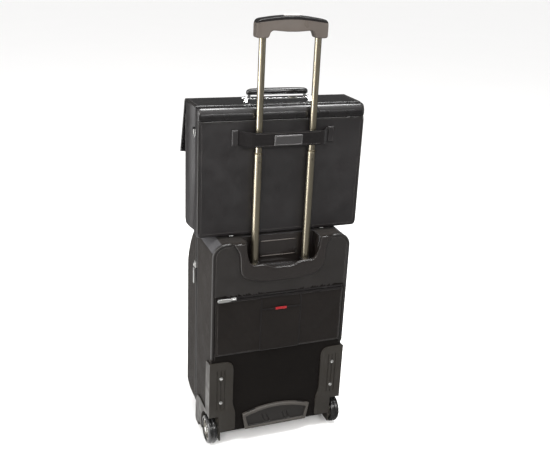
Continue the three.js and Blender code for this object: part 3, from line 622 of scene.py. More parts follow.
def dress(node, material, bevel=0.6, angle=30, segments=2):
    """A CAD node gets its finish and small rounded edges; its own vertices stay as they are."""
    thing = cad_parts[node]
    mesh = thing.data
    if "custom_normal" in mesh.attributes:
        mesh.attributes.remove(mesh.attributes["custom_normal"])
    mesh.polygons.foreach_set("use_smooth", [True] * len(mesh.polygons))
    if not thing.material_slots:
        mesh.materials.append(MATERIALS[material])
    for place in thing.material_slots:
        place.material = MATERIALS[material]
    modify(thing, "WELD", merge_threshold=1e-5)
    modify(thing, "DECIMATE", decimate_type="DISSOLVE", angle_limit=math.radians(FLAT_ANGLE))
    if bevel:
        modify(thing, "BEVEL", width=bevel * MM, segments=segments, limit_method="ANGLE",
               angle_limit=math.radians(angle), use_clamp_overlap=True)
    modify(thing, "WEIGHTED_NORMAL", mode="FACE_AREA", weight=60, keep_sharp=False)


def both(name):
    """The two nodes of a pair."""
    return f"{name}_left", f"{name}_right"


def dress_rigid_nodes():
    rows = [
        ("housing_plastic", 1.2, both("wheel_housing")),
        ("housing_plastic", 0.8, both("front_foot") + ("tube_base",)),
        ("bezel_plastic", 0.4, ("recess_plate",)),
        ("black_plastic", 0.8, ("tube_collars",)),
        ("black_plastic", 1.0, ("grip_cap",)),
        ("grip_plastic", 1.2, ("grip_body",)),
        ("button_plastic", 0.5, ("release_button",)),
        ("steel", 0.3, both("housing_screw_lower") + both("housing_screw_upper") + both("axle")),
        ("steel", 0.3, both("bearing")),
        ("steel", 0.5, both("d_ring") + ("flap_lock",)),
        ("steel", 0.8, both("base_runner")),
        ("chrome", 0.6, both("handle_bracket") + ("carry_bar",)),
        ("hub_plastic", 0.7, both("hub")),
        ("aluminium", 0.0, both("fixed_tube")),
    ]
    for material, bevel, nodes in rows:
        for node in nodes:
            dress(node, material, bevel)


def corner_path(corners, count=72, steps=12):
    """An open line through (x, z, radius) corners, evenly sampled."""
    points = [np.array(corners[0][:2], float)]
    for before, (x, z, radius), after in zip(corners, corners[1:], corners[2:]):
        at = np.array((x, z), float)
        back, ahead = np.array(before[:2]) - at, np.array(after[:2]) - at
        start = at + back / np.linalg.norm(back) * radius
        end = at + ahead / np.linalg.norm(ahead) * radius
        for t in np.linspace(0, 1, steps):
            points.append(start * (1 - t) ** 2 + at * 2 * t * (1 - t) + end * t * t)
    points = np.array(points + [np.array(corners[-1][:2], float)])
    along = distances(points)
    return sampled(np.linspace(0, along[-1], count), along, points)


def mirrored_path(half):
    """A path across both sides, from the half that starts on the middle line."""
    return np.vstack([half[::-1] * [-1, 1], half[1:]])


def dress_bezel():
    """The bezel's node, with a rounded rim over it between its outer edge and the handle's opening."""
    dress("handle_bezel", "bezel_plastic", 0.8, angle=40)
    reach = span("grip_body")[1][0] + 7
    bottom, lip, top = CASE_TOP - 106, CASE_TOP - 60, CASE_TOP - 1
    rim = corner_path([(0, bottom, 0), (reach - 33, bottom, 20), (reach + 16, bottom + 16, 26),
                       (reach + 19, bottom + 78, 12), (reach + 35, top, 0)])
    opening = corner_path([(0, lip - 10, 0), (22, lip - 10, 10), (46, lip, 10), (reach - 9, lip + 1, 10),
                           (reach, lip + 22, 10), (reach + 6, top, 0)])
    # share of the way from the rim to the opening, and height there
    section = [(-0.02, 0.0), (-0.015, 3.0), (0.01, 5.2), (0.06, 6.4), (0.16, 7.1), (0.35, 7.6), (0.6, 7.6),
               (0.8, 7.2), (0.93, 6.6), (0.99, 5.6), (1.015, 3.6), (1.02, 0.0), (0.5, -0.1)]
    rings = []
    for a, b in zip(mirrored_path(rim), mirrored_path(opening)):
        places = [(a + (b - a) * share, height) for share, height in section]
        rings.append([(x, BACK + 0.4 + height, z) for (x, z), height in places])
    finish(lofted("bezel_trim", rings, "bezel_plastic"), "case", "bezel_plastic")


# The rim's lighter plastic is a painted highlight on its upturned band; the recessed inner panel's darker
# plastic is painted shade.
def dress_skid_guard():
    dress("skid_guard", "guard_plastic", 1.2)
    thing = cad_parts["skid_guard"]
    thing.modifiers["decimate"].delimit = {"MATERIAL"}
    thing.data.materials.append(MATERIALS["guard_panel_painted_shade"])
    low, high = span("skid_guard")
    centre, half = (low + high) / 2, (high - low) / 2
    for face in thing.data.polygons:
        x, y, z = (thing.matrix_world @ face.center) / MM
        inside = abs(x - centre[0]) < half[0] - 9 and low[2] + 7 < z < high[2] - 7
        if inside and y < high[1] - 3:
            face.material_index = 1


def finish_small_cad():
    for node in ("main_zip_slider", "main_zip_puller", "back_zip_slider", "back_zip_puller",
                 "front_zip_slider"):
        dress(node, "steel", 0.5)


def turned(name, profile, place, material, sides=64):
    """A ring: place gives (x, y, z) from a profile point's two numbers and the turn's cosine and sine."""
    rings = []
    for angle in np.linspace(0, 2 * math.pi, sides, endpoint=False):
        c, s = math.cos(angle), math.sin(angle)
        rings.append([place(u, v, c, s) for u, v in profile])
    rings.append(rings[0])
    return weld(lofted(name, rings, material, caps=(False, False)))


def make_handle_tubes():
    """The two sliding stages, round and smooth, with a collar on the middle one and a black ring of painted
    shade where its lock hole is.
    """
    wall, chamfer = 1.0, 0.5
    for side, _ in SIDES:
        for stage in ("middle", "upper"):
            low, high = span(f"{stage}_tube_{side}")
            centre, radius = (low + high) / 2, (high[0] - low[0]) / 2
            z0, z1 = low[2], high[2]

            def upright(r, z, c, s):
                return centre[0] + r * c, centre[1] + r * s, z

            levels = list(np.linspace(z0 + 0.6, z1 - 0.6, 40))
            profile = [(radius - chamfer, z0)] + [(radius, z) for z in levels]
            profile += [(radius - chamfer, z1), (radius - wall, z1)]
            profile += [(radius - wall, z) for z in levels[::-4]] + [(radius - wall, z0)]
            made = turned(f"{stage}_stage_{side}", profile, upright, "aluminium")
            finish(made, f"{stage}_stage", "aluminium", f"{stage}_tube_{side}")
            if stage == "middle":
                bottom, lip = z1 - 4.0, radius + 0.7
                ring = [(radius - 0.2, bottom + 0.6), (lip, bottom + 0.7), (lip + 0.25, bottom + 1.2),
                        (lip + 0.25, z1 - 0.6), (lip - 0.3, z1 + 0.1), (radius - 0.9, z1 + 0.1),
                        (radius - 0.9, bottom + 0.8)]
                collar = turned(f"stage_collar_{side}", ring, upright, "collar_metal")
                finish(collar, "middle_stage", "aluminium")
                make_painted_hole_shade(side, centre, centre[1] + radius - 0.1, bottom - 17)


# A black ring on the tube, with no hole cut: painted shade standing for the lock hole.
def make_painted_hole_shade(side, centre, back, height):
    rings = []
    for r, depth in ((2.5, -0.6), (2.5, 0.12), (2.1, 0.25), (1.7, 0.1), (1.5, -0.5)):
        turns = np.linspace(0, 2 * math.pi, 24, endpoint=False)
        rings.append([(centre[0] + r * math.cos(a), back + depth, height + r * math.sin(a)) for a in turns])
    finish(lofted(f"painted_hole_shade_{side}", rings, "black_plastic"), "middle_stage", "black_plastic")


def make_button_spring():
    low, high = span("button_spring")
    centre, wire, turns, travel = (low + high) / 2, 0.6, 5, 3.2
    radius = (high[0] - low[0]) / 2 - wire
    z0, z1 = low[2] + wire, high[2] - wire
    path = []
    for t in np.linspace(0, 1, 181):
        angle = 2 * math.pi * turns * t
        z = z0 + (z1 - z0) * ramp(t - 0.08, 0.84)
        path.append((centre[0] + radius * math.cos(angle), centre[1] + radius * math.sin(angle), z))
    coil = tube("spring_coil", path, wire, "steel", sides=8)
    finish(coil, "upper_stage", "steel", "button_spring")
    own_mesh(coil)


# Strips of lighter plastic along the recess plate's top and bottom edges: painted highlights where its lip
# and fillet catch the light.
def make_recess_highlight_lines():
    low, high = span("recess_plate")
    for name, z in (("low", low[2] + 1.2), ("high", high[2] - 1.2)):
        line = across(low[0] + 1, high[0] - 1, high[1] + 0.2, z, 16)
        piping(f"recess_highlight_line_{name}", line, 1.0, "case", "bezel_plastic", "grip_plastic")


def make_tyres():
    edge = 7.5
    for side, _ in SIDES:
        low, high = span(f"tyre_{side}")
        centre, half = (low + high) / 2, (high[0] - low[0]) / 2
        radius = (high[2] - low[2]) / 2
        hub_low, hub_high = span(f"hub_{side}")
        hub = (hub_high[2] - hub_low[2]) / 2 + 0.3
        tread = arc((radius - edge, half - edge), edge, 90, 0, 7)
        sidewall = [(hub, half - 3), (hub + 1.5, half - 1.6), (radius - edge - 2, half - 0.4)]
        groove = [(radius, 2.6), (radius - 1.4, 1.8), (radius - 1.4, 0)]
        half_loop = sidewall + tread + groove
        loop = half_loop + [(r, -x) for r, x in half_loop[-2::-1]]

        def round_the_axle(r, x, c, s):
            return centre[0] + x, centre[1] + r * c, centre[2] + r * s

        tyre = turned(f"tyre_tread_{side}", loop, round_the_axle, "tyre", sides=72)
        finish(tyre, f"wheel_{side}", "tyre", f"tyre_{side}")


# ------------------------------------------------------------------ trolley case: fabric shell and lid

def case_loop(inset):
    return rounded_loop(HALF_CASE, CASE_BASE, CASE_TOP, BASE_CORNER, TOP_CORNER, inset)


def in_depth(loop, y):
    return np.stack([loop[:, 0], np.full(len(loop), y), loop[:, 1]], 1)


def block_outline(grow):
    """Side view of the wheel housing's lower block, as (y, z)."""
    low = span("wheel_housing_left")[0]
    front, back, bottom, corner = low[1] - grow, BACK + 40, low[2] - 9, 40
    top = low_block_top() + grow
    return [(back, bottom), (back, top)] + arc((front + corner, top - corner), corner, 90, 180, 8) + [
        (front, bottom)]


def low_block_top():
    low, high = span("tyre_left")
    return (low[2] + high[2]) / 2 + high[2] / 2 + 19


def shell_cutters():
    """Room for the wheel housings' lower blocks and for the handle's recess."""
    inner = span("tyre_left")[0][0] - 9.3
    cutters = []
    for _, side in SIDES:
        ends = sorted((side * inner, side * (HALF_CASE + 40)))
        cutters.append(prism("wheel_room", block_outline(0.4), 0, *ends))
    floor = span("tube_collars")[0][2] - 3.7
    front = span("recess_plate")[0][1] - 3.7
    half, corner = span("grip_body")[1][0] + 10.4, 14
    outline = arc((corner - half, floor + corner), corner, 180, 270, 5)
    outline += arc((half - corner, floor + corner), corner, -90, 0, 5)
    outline += [(half, CASE_TOP + 20), (-half, CASE_TOP + 20)]
    cutters.append(prism("handle_room", outline, 1, front, BACK + 30))
    return cutters


def make_case_shell():
    """An open box with a rounded rear edge: outside from the zip to the middle of the back, then inside."""
    edge, wall, middle = 7.0, 4.0, 172
    outer = [(SHELL_FRONT, 0.0)]
    outer += [(y, 0.0) for y in np.linspace(SHELL_FRONT, BACK - edge, 16)[1:]]
    outer += [(BACK - edge + edge * math.sin(a), edge - edge * math.cos(a))
              for a in np.radians([22, 45, 68, 90])]
    outer += [(BACK, inset) for inset in np.linspace(edge, middle, 26)[1:]]
    inner = [(BACK - wall, inset) for inset in np.linspace(middle, 2 * wall, 12)]
    inner += [(y, wall) for y in np.linspace(BACK - wall - 2, SHELL_FRONT, 8)]
    rings = [in_depth(case_loop(inset), y) for y, inset in outer[::-1] + inner[::-1]]
    shell = lofted("trolley_shell", rings, "nylon")
    cut(shell, *shell_cutters())
    mesh = shell.data
    mesh.materials.clear()
    names = ("nylon", "leatherette", "back_nylon", "lining")
    for name in names:
        mesh.materials.append(MATERIALS[name])
    seam = span("back_pocket_zip")[1][2] + 2
    for face in mesh.polygons:
        x, y, z = face.center / MM
        if y > BACK - 2.5 and face.normal.y > 0.6:
            face.material_index = names.index("leatherette" if z > seam else "back_nylon")
        elif is_inner(x, y, z):
            face.material_index = names.index("lining")
    mesh.polygons.foreach_set("use_smooth", [True] * len(mesh.polygons))

    def loose(p):
        x, y, z = p
        if abs(x) <= HALF_CASE - 5 and z <= CASE_TOP - 5:
            return 0.0
        return ramp(z - CASE_BASE - 70, 60) * ramp(BACK - 12 - y, 20) * ramp(y - SHELL_FRONT - 6, 20)

    soften(shell, 1.1, 70, 2, loose)
    finish(shell, "case", "nylon", "case_shell")


def is_inner(x, y, z):
    return abs(x) < HALF_CASE - 2 and CASE_BASE + 2 < z < CASE_TOP - 2 and y < BACK - 2


def lid_profile(inset):
    """For the lid: depth, base, top and inset of the section there, from the zip to the front."""
    base_corner, side_corner = 34.0, 9
    front, nose = LID_FRONT + inset, CASE_TOP - 168
    controls = ((front, nose), (front, nose + 80), (front + 36, CASE_TOP - 2 - inset),
                (LID_BACK, CASE_TOP - inset))
    curve = []
    for u in np.linspace(0, 1, 33):
        shares = ((1 - u) ** 3, 3 * u * (1 - u) ** 2, 3 * u * u * (1 - u), u ** 3)
        curve.append(sum(share * np.array(point, float) for share, point in zip(shares, controls)))
    curve = np.array(curve)
    round_end = front + 14 * (1 - np.sin(np.radians(np.linspace(0, 90, 9)[1:])))
    rows = []
    for y in np.concatenate([np.linspace(LID_BACK, front + 14, 12), round_end]):
        top = np.interp(y, curve[:, 0], curve[:, 1])
        depth = min(y - front, base_corner)
        base = CASE_BASE + inset + base_corner - math.sqrt(
            max(base_corner ** 2 - (base_corner - depth) ** 2, 0))
        near = max(side_corner - (y - front), 0)
        side = side_corner - math.sqrt(max(side_corner ** 2 - near ** 2, 0))
        rows.append((y, base, top, inset + side))
    return rows


def lid_section(y, base, top, inset, more=0.0):
    low, corner = max(BASE_CORNER - inset, 6), max(TOP_CORNER - inset, 6)
    loop = rounded_loop(HALF_CASE - inset - more, base + more, top - more, max(low - more, 1),
                        max(corner - more, 1))
    return in_depth(loop, y)


def lid_skin(inset, count):
    """Sections from the zip to the front, and on inwards to the middle of the front face."""
    rows = lid_profile(inset)
    return [lid_section(*row) for row in rows] + [
        lid_section(*rows[-1], more) for more in np.linspace(0, 150, count)[1:]]


def make_lid():
    outer, inner = lid_skin(0.0, 14), lid_skin(4.0, 8)
    lid = lofted("trolley_lid", outer[::-1] + inner, "nylon")
    mesh = lid.data
    mesh.materials.append(MATERIALS["lining"])
    count = len(outer) * len(outer[0])
    for face in mesh.polygons:
        if min(face.vertices) >= count:
            face.material_index = 1
    soften(lid, 1.3, 80, 5, lambda p: ramp(LID_BACK - 8 - p[1], 20) * ramp(p[1] - LID_FRONT - 6, 20))
    finish(lid, "lid", "nylon", "lid_shell")


def zip_path(y, inset, reach=150):
    """Along a zip tape: from the hinge side's foot, over the far side, to the hinge side's top."""
    loop = in_depth(case_loop(inset), y)
    top = np.argmax(np.isclose(loop[:, 0], 0, atol=0.01) & (loop[:, 2] > CASE_TOP / 2))
    half = loop[:top + 1]
    mirror = half[::-1] * [-1, 1, 1]
    near = mirror[mirror[:, 0] > -reach]
    foot, head = near[near[:, 2] < CASE_TOP / 2], near[near[:, 2] > CASE_TOP / 2]
    return np.vstack([foot[np.argsort(foot[:, 0])], half[1:], head[np.argsort(-head[:, 0])][1:]])


def make_zips():
    """The tapes of the main zip's two halves, each with its row of teeth."""
    rows = (("shell", "case", tape_low, tape_high, 1), ("lid", "lid", lid_tape_low, lid_tape_high, -1))
    for name, body, low, high, away in rows:
        near, far = (low[1], high[1]) if away > 0 else (high[1], low[1])
        profile = [(near, 0.9), (near + away * 0.6, 0.3), (far - away * 0.4, 0.0), (far, 0.6),
                   (far, 5.5), (near, 5.5)]
        paths = [zip_path(y, inset) for y, inset in profile]
        rings = [[path[i] for path in paths] for i in range(len(paths[0]))]
        tape = lofted(f"zip_tape_cloth_{name}", rings, "webbing")
        finish(tape, body, "webbing", f"zip_tape_{name}")
        teeth = zip_teeth(f"zip_teeth_{name}", zip_path(near + away * 0.75, -0.1), away)
        finish(teeth, body, "black_plastic")


def zip_teeth(name, path, away):
    """Moulded coil teeth that stand slightly proud of the tape."""
    groups = []
    for p, a in zip(*evenly(path, 3.0)):
        out = np.cross(a, (0, 1, 0))
        if out @ (p - np.array([0, p[1], CASE_TOP / 2])) < 0:
            out = -out
        section = ((-0.7, 0.0), (-0.5, 0.75), (0.5, 0.75), (0.7, 0.0))
        groups.append([p + np.array([0, away * w, 0]) + out * (h - 0.1) + a * d * (1 - 0.3 * h)
                       for w, h in section for d in (-0.75, 0.75)])
    faces = ((0, 1, 3, 2), (2, 3, 5, 4), (4, 5, 7, 6), (6, 7, 1, 0), (0, 2, 4, 6), (1, 7, 5, 3))
    return beads(name, groups, faces, "black_plastic")


def make_hinge_strip():
    """The cloth hinge: a ribbed strip, half on the case and half on the lid."""
    low, high = span("hinge_strip")
    columns, rows = np.linspace(low[1], high[1], 13), np.linspace(low[2], high[2], 60)
    layers = []
    for depth in (0.6, 2.0):
        layers += [(low[0] + depth + 0.5 * math.cos((y - ZIP_Y) * 2.2), y, z) for z in rows for y in columns]
    faces = sheet_faces(len(rows), len(columns))
    strip = mesh_object("hinge_cloth", np.array(layers) * MM, faces, "webbing")
    face_outward(strip)
    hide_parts("hinge_strip")
    start, end = (low[0] * MM, (high[1] + 1) * MM, 0.3), (low[0] * MM, (low[1] - 1) * MM, 0.3)
    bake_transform(strip)
    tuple(start)
    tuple(end)


def make_piping():
    bezel_half = span("handle_bezel")[1][0]
    plate_top = span("wheel_housing_left")[1][2]

    def beside_bezel(inset, y):
        loop = in_depth(case_loop(inset), y)
        return loop[(loop[:, 0] > bezel_half + 3) & (loop[:, 2] > plate_top + 3)]

    for name, turn in SIDES:
        piping(f"piping_back_{name}", beside_bezel(3.4, BACK - 2.4) * [turn, 1, 1], 4.2, "case", sides=16)
    for name, body, y in (("shell", "case", SHELL_FRONT + 3.4), ("lid", "lid", LID_BACK - 3.4)):
        piping(f"piping_{name}", zip_path(y, 0.6), 1.7, body)
    for name, turn in SIDES:
        sew(f"back_stitches_{name}", beside_bezel(9.5, BACK + 0.15) * [turn, 1, 1], (0, 1, 0), "case")


# ------------------------------------------------------------------ pockets

def panel(name, low, high, face, thickness, bulge, material, towards=1, corner=6, waves=0.5, seed=0):
    """A soft panel sewn down at its edges: crowned, lightly wrinkled, closed at the back."""
    columns, rows = 61, 41
    points = []
    for layer in (1, 0):
        for b in np.linspace(-1, 1, rows):
            for a in np.linspace(-1, 1, columns):
                x = (low[0] + high[0]) / 2 + a * (high[0] - low[0]) / 2
                z = (low[2] + high[2]) / 2 + b * (high[2] - low[2]) / 2
                rim = min((1 - abs(a)) * (high[0] - low[0]), (1 - abs(b)) * (high[2] - low[2])) / 2
                squeeze = max(corner - rim, 0) / corner
                height = thickness * (1 - 0.55 * squeeze ** 2)
                height += bulge * (1 - a ** 4) * (1 - b ** 4)
                folds = noise.noise(Vector(((x + z) * 0.022 + seed, z * 0.018, seed)))
                folds += 0.5 * noise.noise(Vector(((x - z * 0.7) * 0.06, z * 0.02 + seed, 3.0)))
                height += waves * folds * min(rim / 12, 1)
                points.append((x, face + towards * (height if layer else 0.2), z))
    thing = mesh_object(name, np.array(points) * MM, sheet_faces(rows, columns), material)
    face_outward(thing)
    return thing


def rim_path(low, high, y, inset, radius=6):
    """A closed path round an upright panel, drawn in by an inset."""
    x0, x1, z0, z1 = low[0] + inset, high[0] - inset, low[2] + inset, high[2] - inset
    flat = []
    for x, z, start in ((x1 - radius, z0 + radius, -90), (x1 - radius, z1 - radius, 0),
                        (x0 + radius, z1 - radius, 90), (x0 + radius, z0 + radius, 180)):
        flat += arc((x, z), radius, start, start + 90)
    return [(x, y, z) for x, z in flat + flat[:1]]


def make_back_pocket():
    low, high = span("back_pocket")
    pocket = panel("back_pocket_cloth", low, high, low[1], 3.0, 0.8, "pocket_nylon", waves=2.6, seed=3)
    finish(pocket, "case", "pocket_nylon", "back_pocket")
    inner, outer = span("back_pocket_pouch")
    pouch = panel("back_pouch_cloth", inner, outer, inner[1] - 0.6, 1.6, 0.7, "pocket_nylon", waves=0.7,
                  seed=9)
    finish(pouch, "case", "pocket_nylon", "back_pocket_pouch")
    hem = across(inner[0], outer[0], outer[1] + 0.1, outer[2] - 1, 12)
    piping("pouch_hem", hem, 1.5, "case", "webbing", "webbing")
    for name, x in (("left", outer[0] + 0.5), ("right", inner[0] - 0.5)):
        seam = upwards(x, high[1] - 0.2, low[2] + 2, high[2] - 1, 20)
        piping(f"pocket_seam_{name}", seam, 1.8, "case", "webbing", "webbing")
    lip = across(low[0] + 3, high[0] - 3, high[1] + 0.1, high[2] - 1.2, 30)
    piping("pocket_lip", lip, 1.7, "case", "webbing", "webbing")
    sew("pocket_stitches", rim_path(low, high, high[1] - 0.9, 4.5), (0, 1, 0), "case", "webbing")
    make_flat_zip("back_pocket_zip", "case", 1)
    tag_low, tag_high = (-14, 0, outer[2] - 4.2), (16, 0, outer[2] + 2.4)
    tag = panel("woven_tag", tag_low, tag_high, outer[1] + 0.9, 0.7, 0.25, "red", corner=1.2, waves=0.1)
    finish(tag, "case", "webbing")


def make_flat_zip(node, body, towards):
    """A straight zip on a flat face: its tape, and two staggered rows of teeth."""
    low, high = span(node)
    face = low[1] if towards > 0 else high[1]
    middle = (low[2] + high[2]) / 2
    tape = panel(f"{node}_tape", low, high, face, 1.5, 0.0, "webbing", towards, 1.5, 0.1)
    finish(tape, body, "webbing", node)
    crest = face + towards * 1.7
    groups = []
    for i, x in enumerate(np.arange(low[0] + 4, high[0] - 4, 1.5)):
        shift = 0.35 if i % 2 else -0.35
        groups.append([(x + du, crest + towards * (h - 0.3), middle + w + shift) for du in (-0.55, 0.55)
                       for w, h in ((-1.3, 0.0), (-0.9, 0.7), (0.9, 0.7), (1.3, 0.0))])
    faces = ((0, 1, 5, 4), (1, 2, 6, 5), (2, 3, 7, 6), (3, 0, 4, 7), (0, 3, 2, 1), (4, 5, 6, 7))
    finish(beads(f"{node}_teeth", groups, faces, "black_plastic"), body, "black_plastic")


def make_front_pocket():
    low, high = span("front_pocket")
    panel_top = span("front_zip_slider")[0][2] - 1.5
    edge = (high[0], 0, panel_top)
    pocket = panel("front_pocket_cloth", low, edge, high[1], 4.6, 1.2, "nylon", -1, 10, 0.6, 4)
    finish(pocket, "lid", "pocket_nylon", "front_pocket")
    tape_low, tape_high = (low[0] + 2, 0, panel_top + 0.3), (high[0] - 2, 0, high[2])
    band = panel("front_zip_tape", tape_low, tape_high, high[1], 1.8, 0.0, "webbing", -1, 1.5, 0.1)
    finish(band, "lid", "webbing")
    lip = across(low[0] + 3, high[0] - 3, high[1] - 3.6, panel_top - 0.6, 30)
    piping("front_pocket_lip", lip, 1.7, "lid")
    sew("front_pocket_stitches", rim_path(low, edge, high[1] - 4.4, 5.5, 10), (0, -1, 0), "lid", "webbing")


# ------------------------------------------------------------------ briefcase

def plan_loop(half, front, back, radius, gusset=0.0):
    """The outline of a bag from above, with folded sides; equally many points for every size."""
    def side_x(y):
        t = (y - front) / (back - front)
        return half - gusset * math.exp(-((t - 0.52) / 0.16) ** 2)
    radius = min(radius, half, (back - front) / 2)
    points = [(u, front) for u in np.linspace(0, half - radius, 22, endpoint=False)]
    points += arc((half - radius, front + radius), radius, -90, 0, 6)[:-1]
    points += [(side_x(y), y) for y in np.linspace(front + radius, back - radius, 26, endpoint=False)]
    points += arc((half - radius, back - radius), radius, 0, 90, 6)[:-1]
    points += [(u, back) for u in np.linspace(half - radius, 0, 22)]
    return np.array(points + [(-u, w) for u, w in points[-2:0:-1]])


def at_height(loop, z):
    return np.stack([loop[:, 0], loop[:, 1], np.full(len(loop), z)], 1)


def level(half, front, back, z, radius, gusset=0.0, inset=0.0):
    """A ring of a bag at one height, drawn in on all sides by an inset."""
    return at_height(plan_loop(half - inset, front + inset, back - inset, radius, gusset), z)


def make_briefcase_body():
    """An open-topped leather box with folded sides: up its outside, over the rim and down inside."""
    half, front, back = HALF_BRIEFCASE, BRIEFCASE_FRONT, BRIEFCASE_BACK
    base, edge, wall, fold = BRIEFCASE_BASE, 5, 4, 14
    rings = [at_height(plan_loop(half - inset, front + inset * 0.6, back - inset * 0.6, 8), base)
             for inset in (90, 40, 12)]
    for a in np.radians([0, 30, 60]):
        rise, inset = edge * (1 - math.cos(a)), edge * (1 - math.sin(a))
        rings.append(level(half, front, back, base + rise, 8, 5, inset))
    for z in np.linspace(base + edge, MOUTH - 2, 30):
        depth = 5 + 9 * min((z - base) / (MOUTH - base) * 2, 1)
        rings.append(level(half, front, back, z, 8, depth))
    rings.append(level(half, front, back, MOUTH - 0.4, 7, fold, 1))
    rings.append(level(half, front, back, MOUTH - 0.4, 6, fold, 3))
    for z in np.linspace(MOUTH - 1.5, base + 4.5, 10):
        rings.append(at_height(plan_loop(half - wall, front + wall, back - wall - 1, 5, fold), z))
    rings.append(at_height(plan_loop(half - 60, front + 40, back - 40, 5), base + 4.4))
    body = lofted("briefcase_leather", rings, "leather")

    def loose(p):
        x, y, z = p
        if abs(x) <= half - 30 and y <= back - 1:
            return 0.0
        return ramp(z - base - 10, 60) * ramp(MOUTH - 34 - z, 40)

    soften(body, 0.9, 60, 11, loose)
    finish(body, "briefcase", "leather", "briefcase_body")
    make_roll()
    for name, z in (("low", base + 9), ("high", MOUTH - 31)):
        row = across(-half + 12, half - 12, back + 0.15, z, 40)
        sew(f"briefcase_stitches_{name}", row, (0, 1, 0), "briefcase")
    for name, side in SIDES:
        row = upwards(side * (half - 9), back + 0.15, base + 12, MOUTH - 34, 40)
        sew(f"briefcase_seam_{name}", row, (0, 1, 0), "briefcase")
        for place, x, y, radius in (("briefcase", half - 2.0, back - 2.0, 2.3),
                                    ("gusset", half - 2.2, front + 2.2, 2.0)):
            line = upwards(side * x, y, base + edge, MOUTH - 26, 30)
            piping(f"{place}_piping_{name}", line, radius, "briefcase", sides=12)
        make_ring_tab(name, side)


def make_roll():
    """The padded leather roll along the top of the back panel, with the seam below it."""
    half, back = HALF_BRIEFCASE, BRIEFCASE_BACK
    front, top, low = FLAP_HINGE + 0.9, FLAP_TOP - 0.2, MOUTH - 27
    width, height = 14.6, 23
    profile = [(back + 0.2, low), (back + 0.9, low + 2), (back + 1.3, low + 6)]
    for a in np.radians(np.linspace(3, 90, 16)):
        profile.append((back - 13.4 + width * math.cos(a), top - height + height * math.sin(a)))
    profile += [(front + 2, top), (front, top - 2), (front, top - 24), (back - 6, top - 27)]
    centre = np.array([(front + back) / 2, top - 14])
    left_end = [-half + 0.2, -half + 1.2, -half + 4]
    stations = [left_end, np.linspace(-half + 9, half - 9, 44), [half - 4, half - 1.2, half - 0.2]]
    rings = []
    for x in np.concatenate(stations):
        scale = 1 - 0.22 * max(1 - (half - abs(x)) / 6, 0) ** 2
        dent = 0.35 * noise.noise(Vector((x * 0.05, 1.3, 0.7)))
        shrunk = [centre + (np.array(p) - centre) * scale + (dent * (p[0] > back - 8), 0) for p in profile]
        rings.append([(x, *p) for p in shrunk])
    roll = lofted("briefcase_roll", rings, "gloss_leather")
    finish(roll, "briefcase", "gloss_leather")
    piping("roll_seam", across(-half + 5, half - 5, back + 1.0, low - 1.2, 40), 1.3, "briefcase")


def make_ring_tab(name, side):
    """A leather loop from the wall round the bar of a ring."""
    low, high = span(f"d_ring_{name}")
    centre, radius = (low + high) / 2, 3.6
    x = side * (abs(centre[0]) + 0.2)
    wall = side * (HALF_BRIEFCASE - 15)
    rings = []
    for y in np.linspace(centre[1] - 7, centre[1] + 7, 7):
        loop = [(x + side * radius * math.cos(a), y, high[2] - 1.5 + radius * math.sin(a))
                for a in np.radians(np.linspace(-100, 200, 12))]
        rings.append([(wall, y, high[2] + 16)] + loop[::-1] + [(wall, y, high[2] - 4)])
    finish(lofted(f"ring_tab_{name}", rings, "leather"), "briefcase", "leather")


def make_briefcase_pocket():
    """The pocket on the front, fullest near its base, open at the top."""
    half, back, base, top = pouch_high[0], pouch_high[1], pouch_low[2], pouch_high[2]

    def front_at(z):
        heights = [base, base + 6, base + 26, top - 100, top]
        return np.interp(z, heights, [back - 42, back - 47, back - 48.2, back - 26, back - 22])

    def ring(z, sides, front, rear, radius, gusset=0.0, at=None):
        y = front_at(z if at is None else at) + front
        return at_height(plan_loop(half - sides, y, back - rear, radius, gusset), z)

    floor = plan_loop(half - 60, back - 25, back - 15, 5)
    rings = [at_height(floor, base)]
    for grow, lift in ((5, 0), (2, 1.2), (0.6, 3), (0, 6)):
        rings.append(ring(base + lift, grow, grow, grow * 0.4, 10))
    for z in np.linspace(base + 12, top - 1, 26):
        t = (z - base) / (top - base)
        rings.append(ring(z, 0.3 * 1.5 * math.sin(math.pi * t), 0, 0, 9, 2.5 * t))
    rings.append(ring(top, 1.5, 1.5, 0.6, 8, 2))
    rings.append(ring(top - 0.6, 3.5, 3.5, 2.6, 7, 2, at=top))
    rings += [ring(z, 4, 4, 3, 7, 2) for z in np.linspace(top - 8, base + 5, 12)]
    rings.append(at_height(floor, base + 4.5))
    pocket = lofted("briefcase_pocket_leather", rings, "leather")
    finish(pocket, "briefcase", "leather", "briefcase_pocket")
    for name, side in SIDES:
        path = [(side * (half - 2.4), front_at(z) + 2.2, z) for z in np.linspace(base + 6, top - 3, 40)]
        piping(f"pocket_piping_{name}", path, 2.2, "briefcase", sides=12)
    piping("pocket_rim", across(-half + 6, half - 6, front_at(top) + 1.5, top, 30), 1.8, "briefcase")


def flap_path():
    """Side view of the flap's outer face, as (y, z), from its hinge to its lower edge."""
    front, corner = BRIEFCASE_FRONT - 9, 12
    path = [(y, FLAP_TOP) for y in np.linspace(FLAP_HINGE, front + corner, 20)]
    path += arc((front + corner, FLAP_TOP - corner), corner, 90, 163, 7)[1:]
    start = np.array(path[-1])
    end = np.array([flap_low[1] + 0.4, flap_low[2] + 2])
    for t in np.linspace(0, 1, 22)[1:]:
        y, z = start + (end - start) * t
        path.append((y + 0.5 * math.sin(math.pi * t), z))
    return np.array(path)


def offset_path(path, distance):
    step = np.gradient(path, axis=0)
    step /= np.linalg.norm(step, axis=1)[:, None]
    return path + np.stack([-step[:, 1], step[:, 0]], 1) * distance


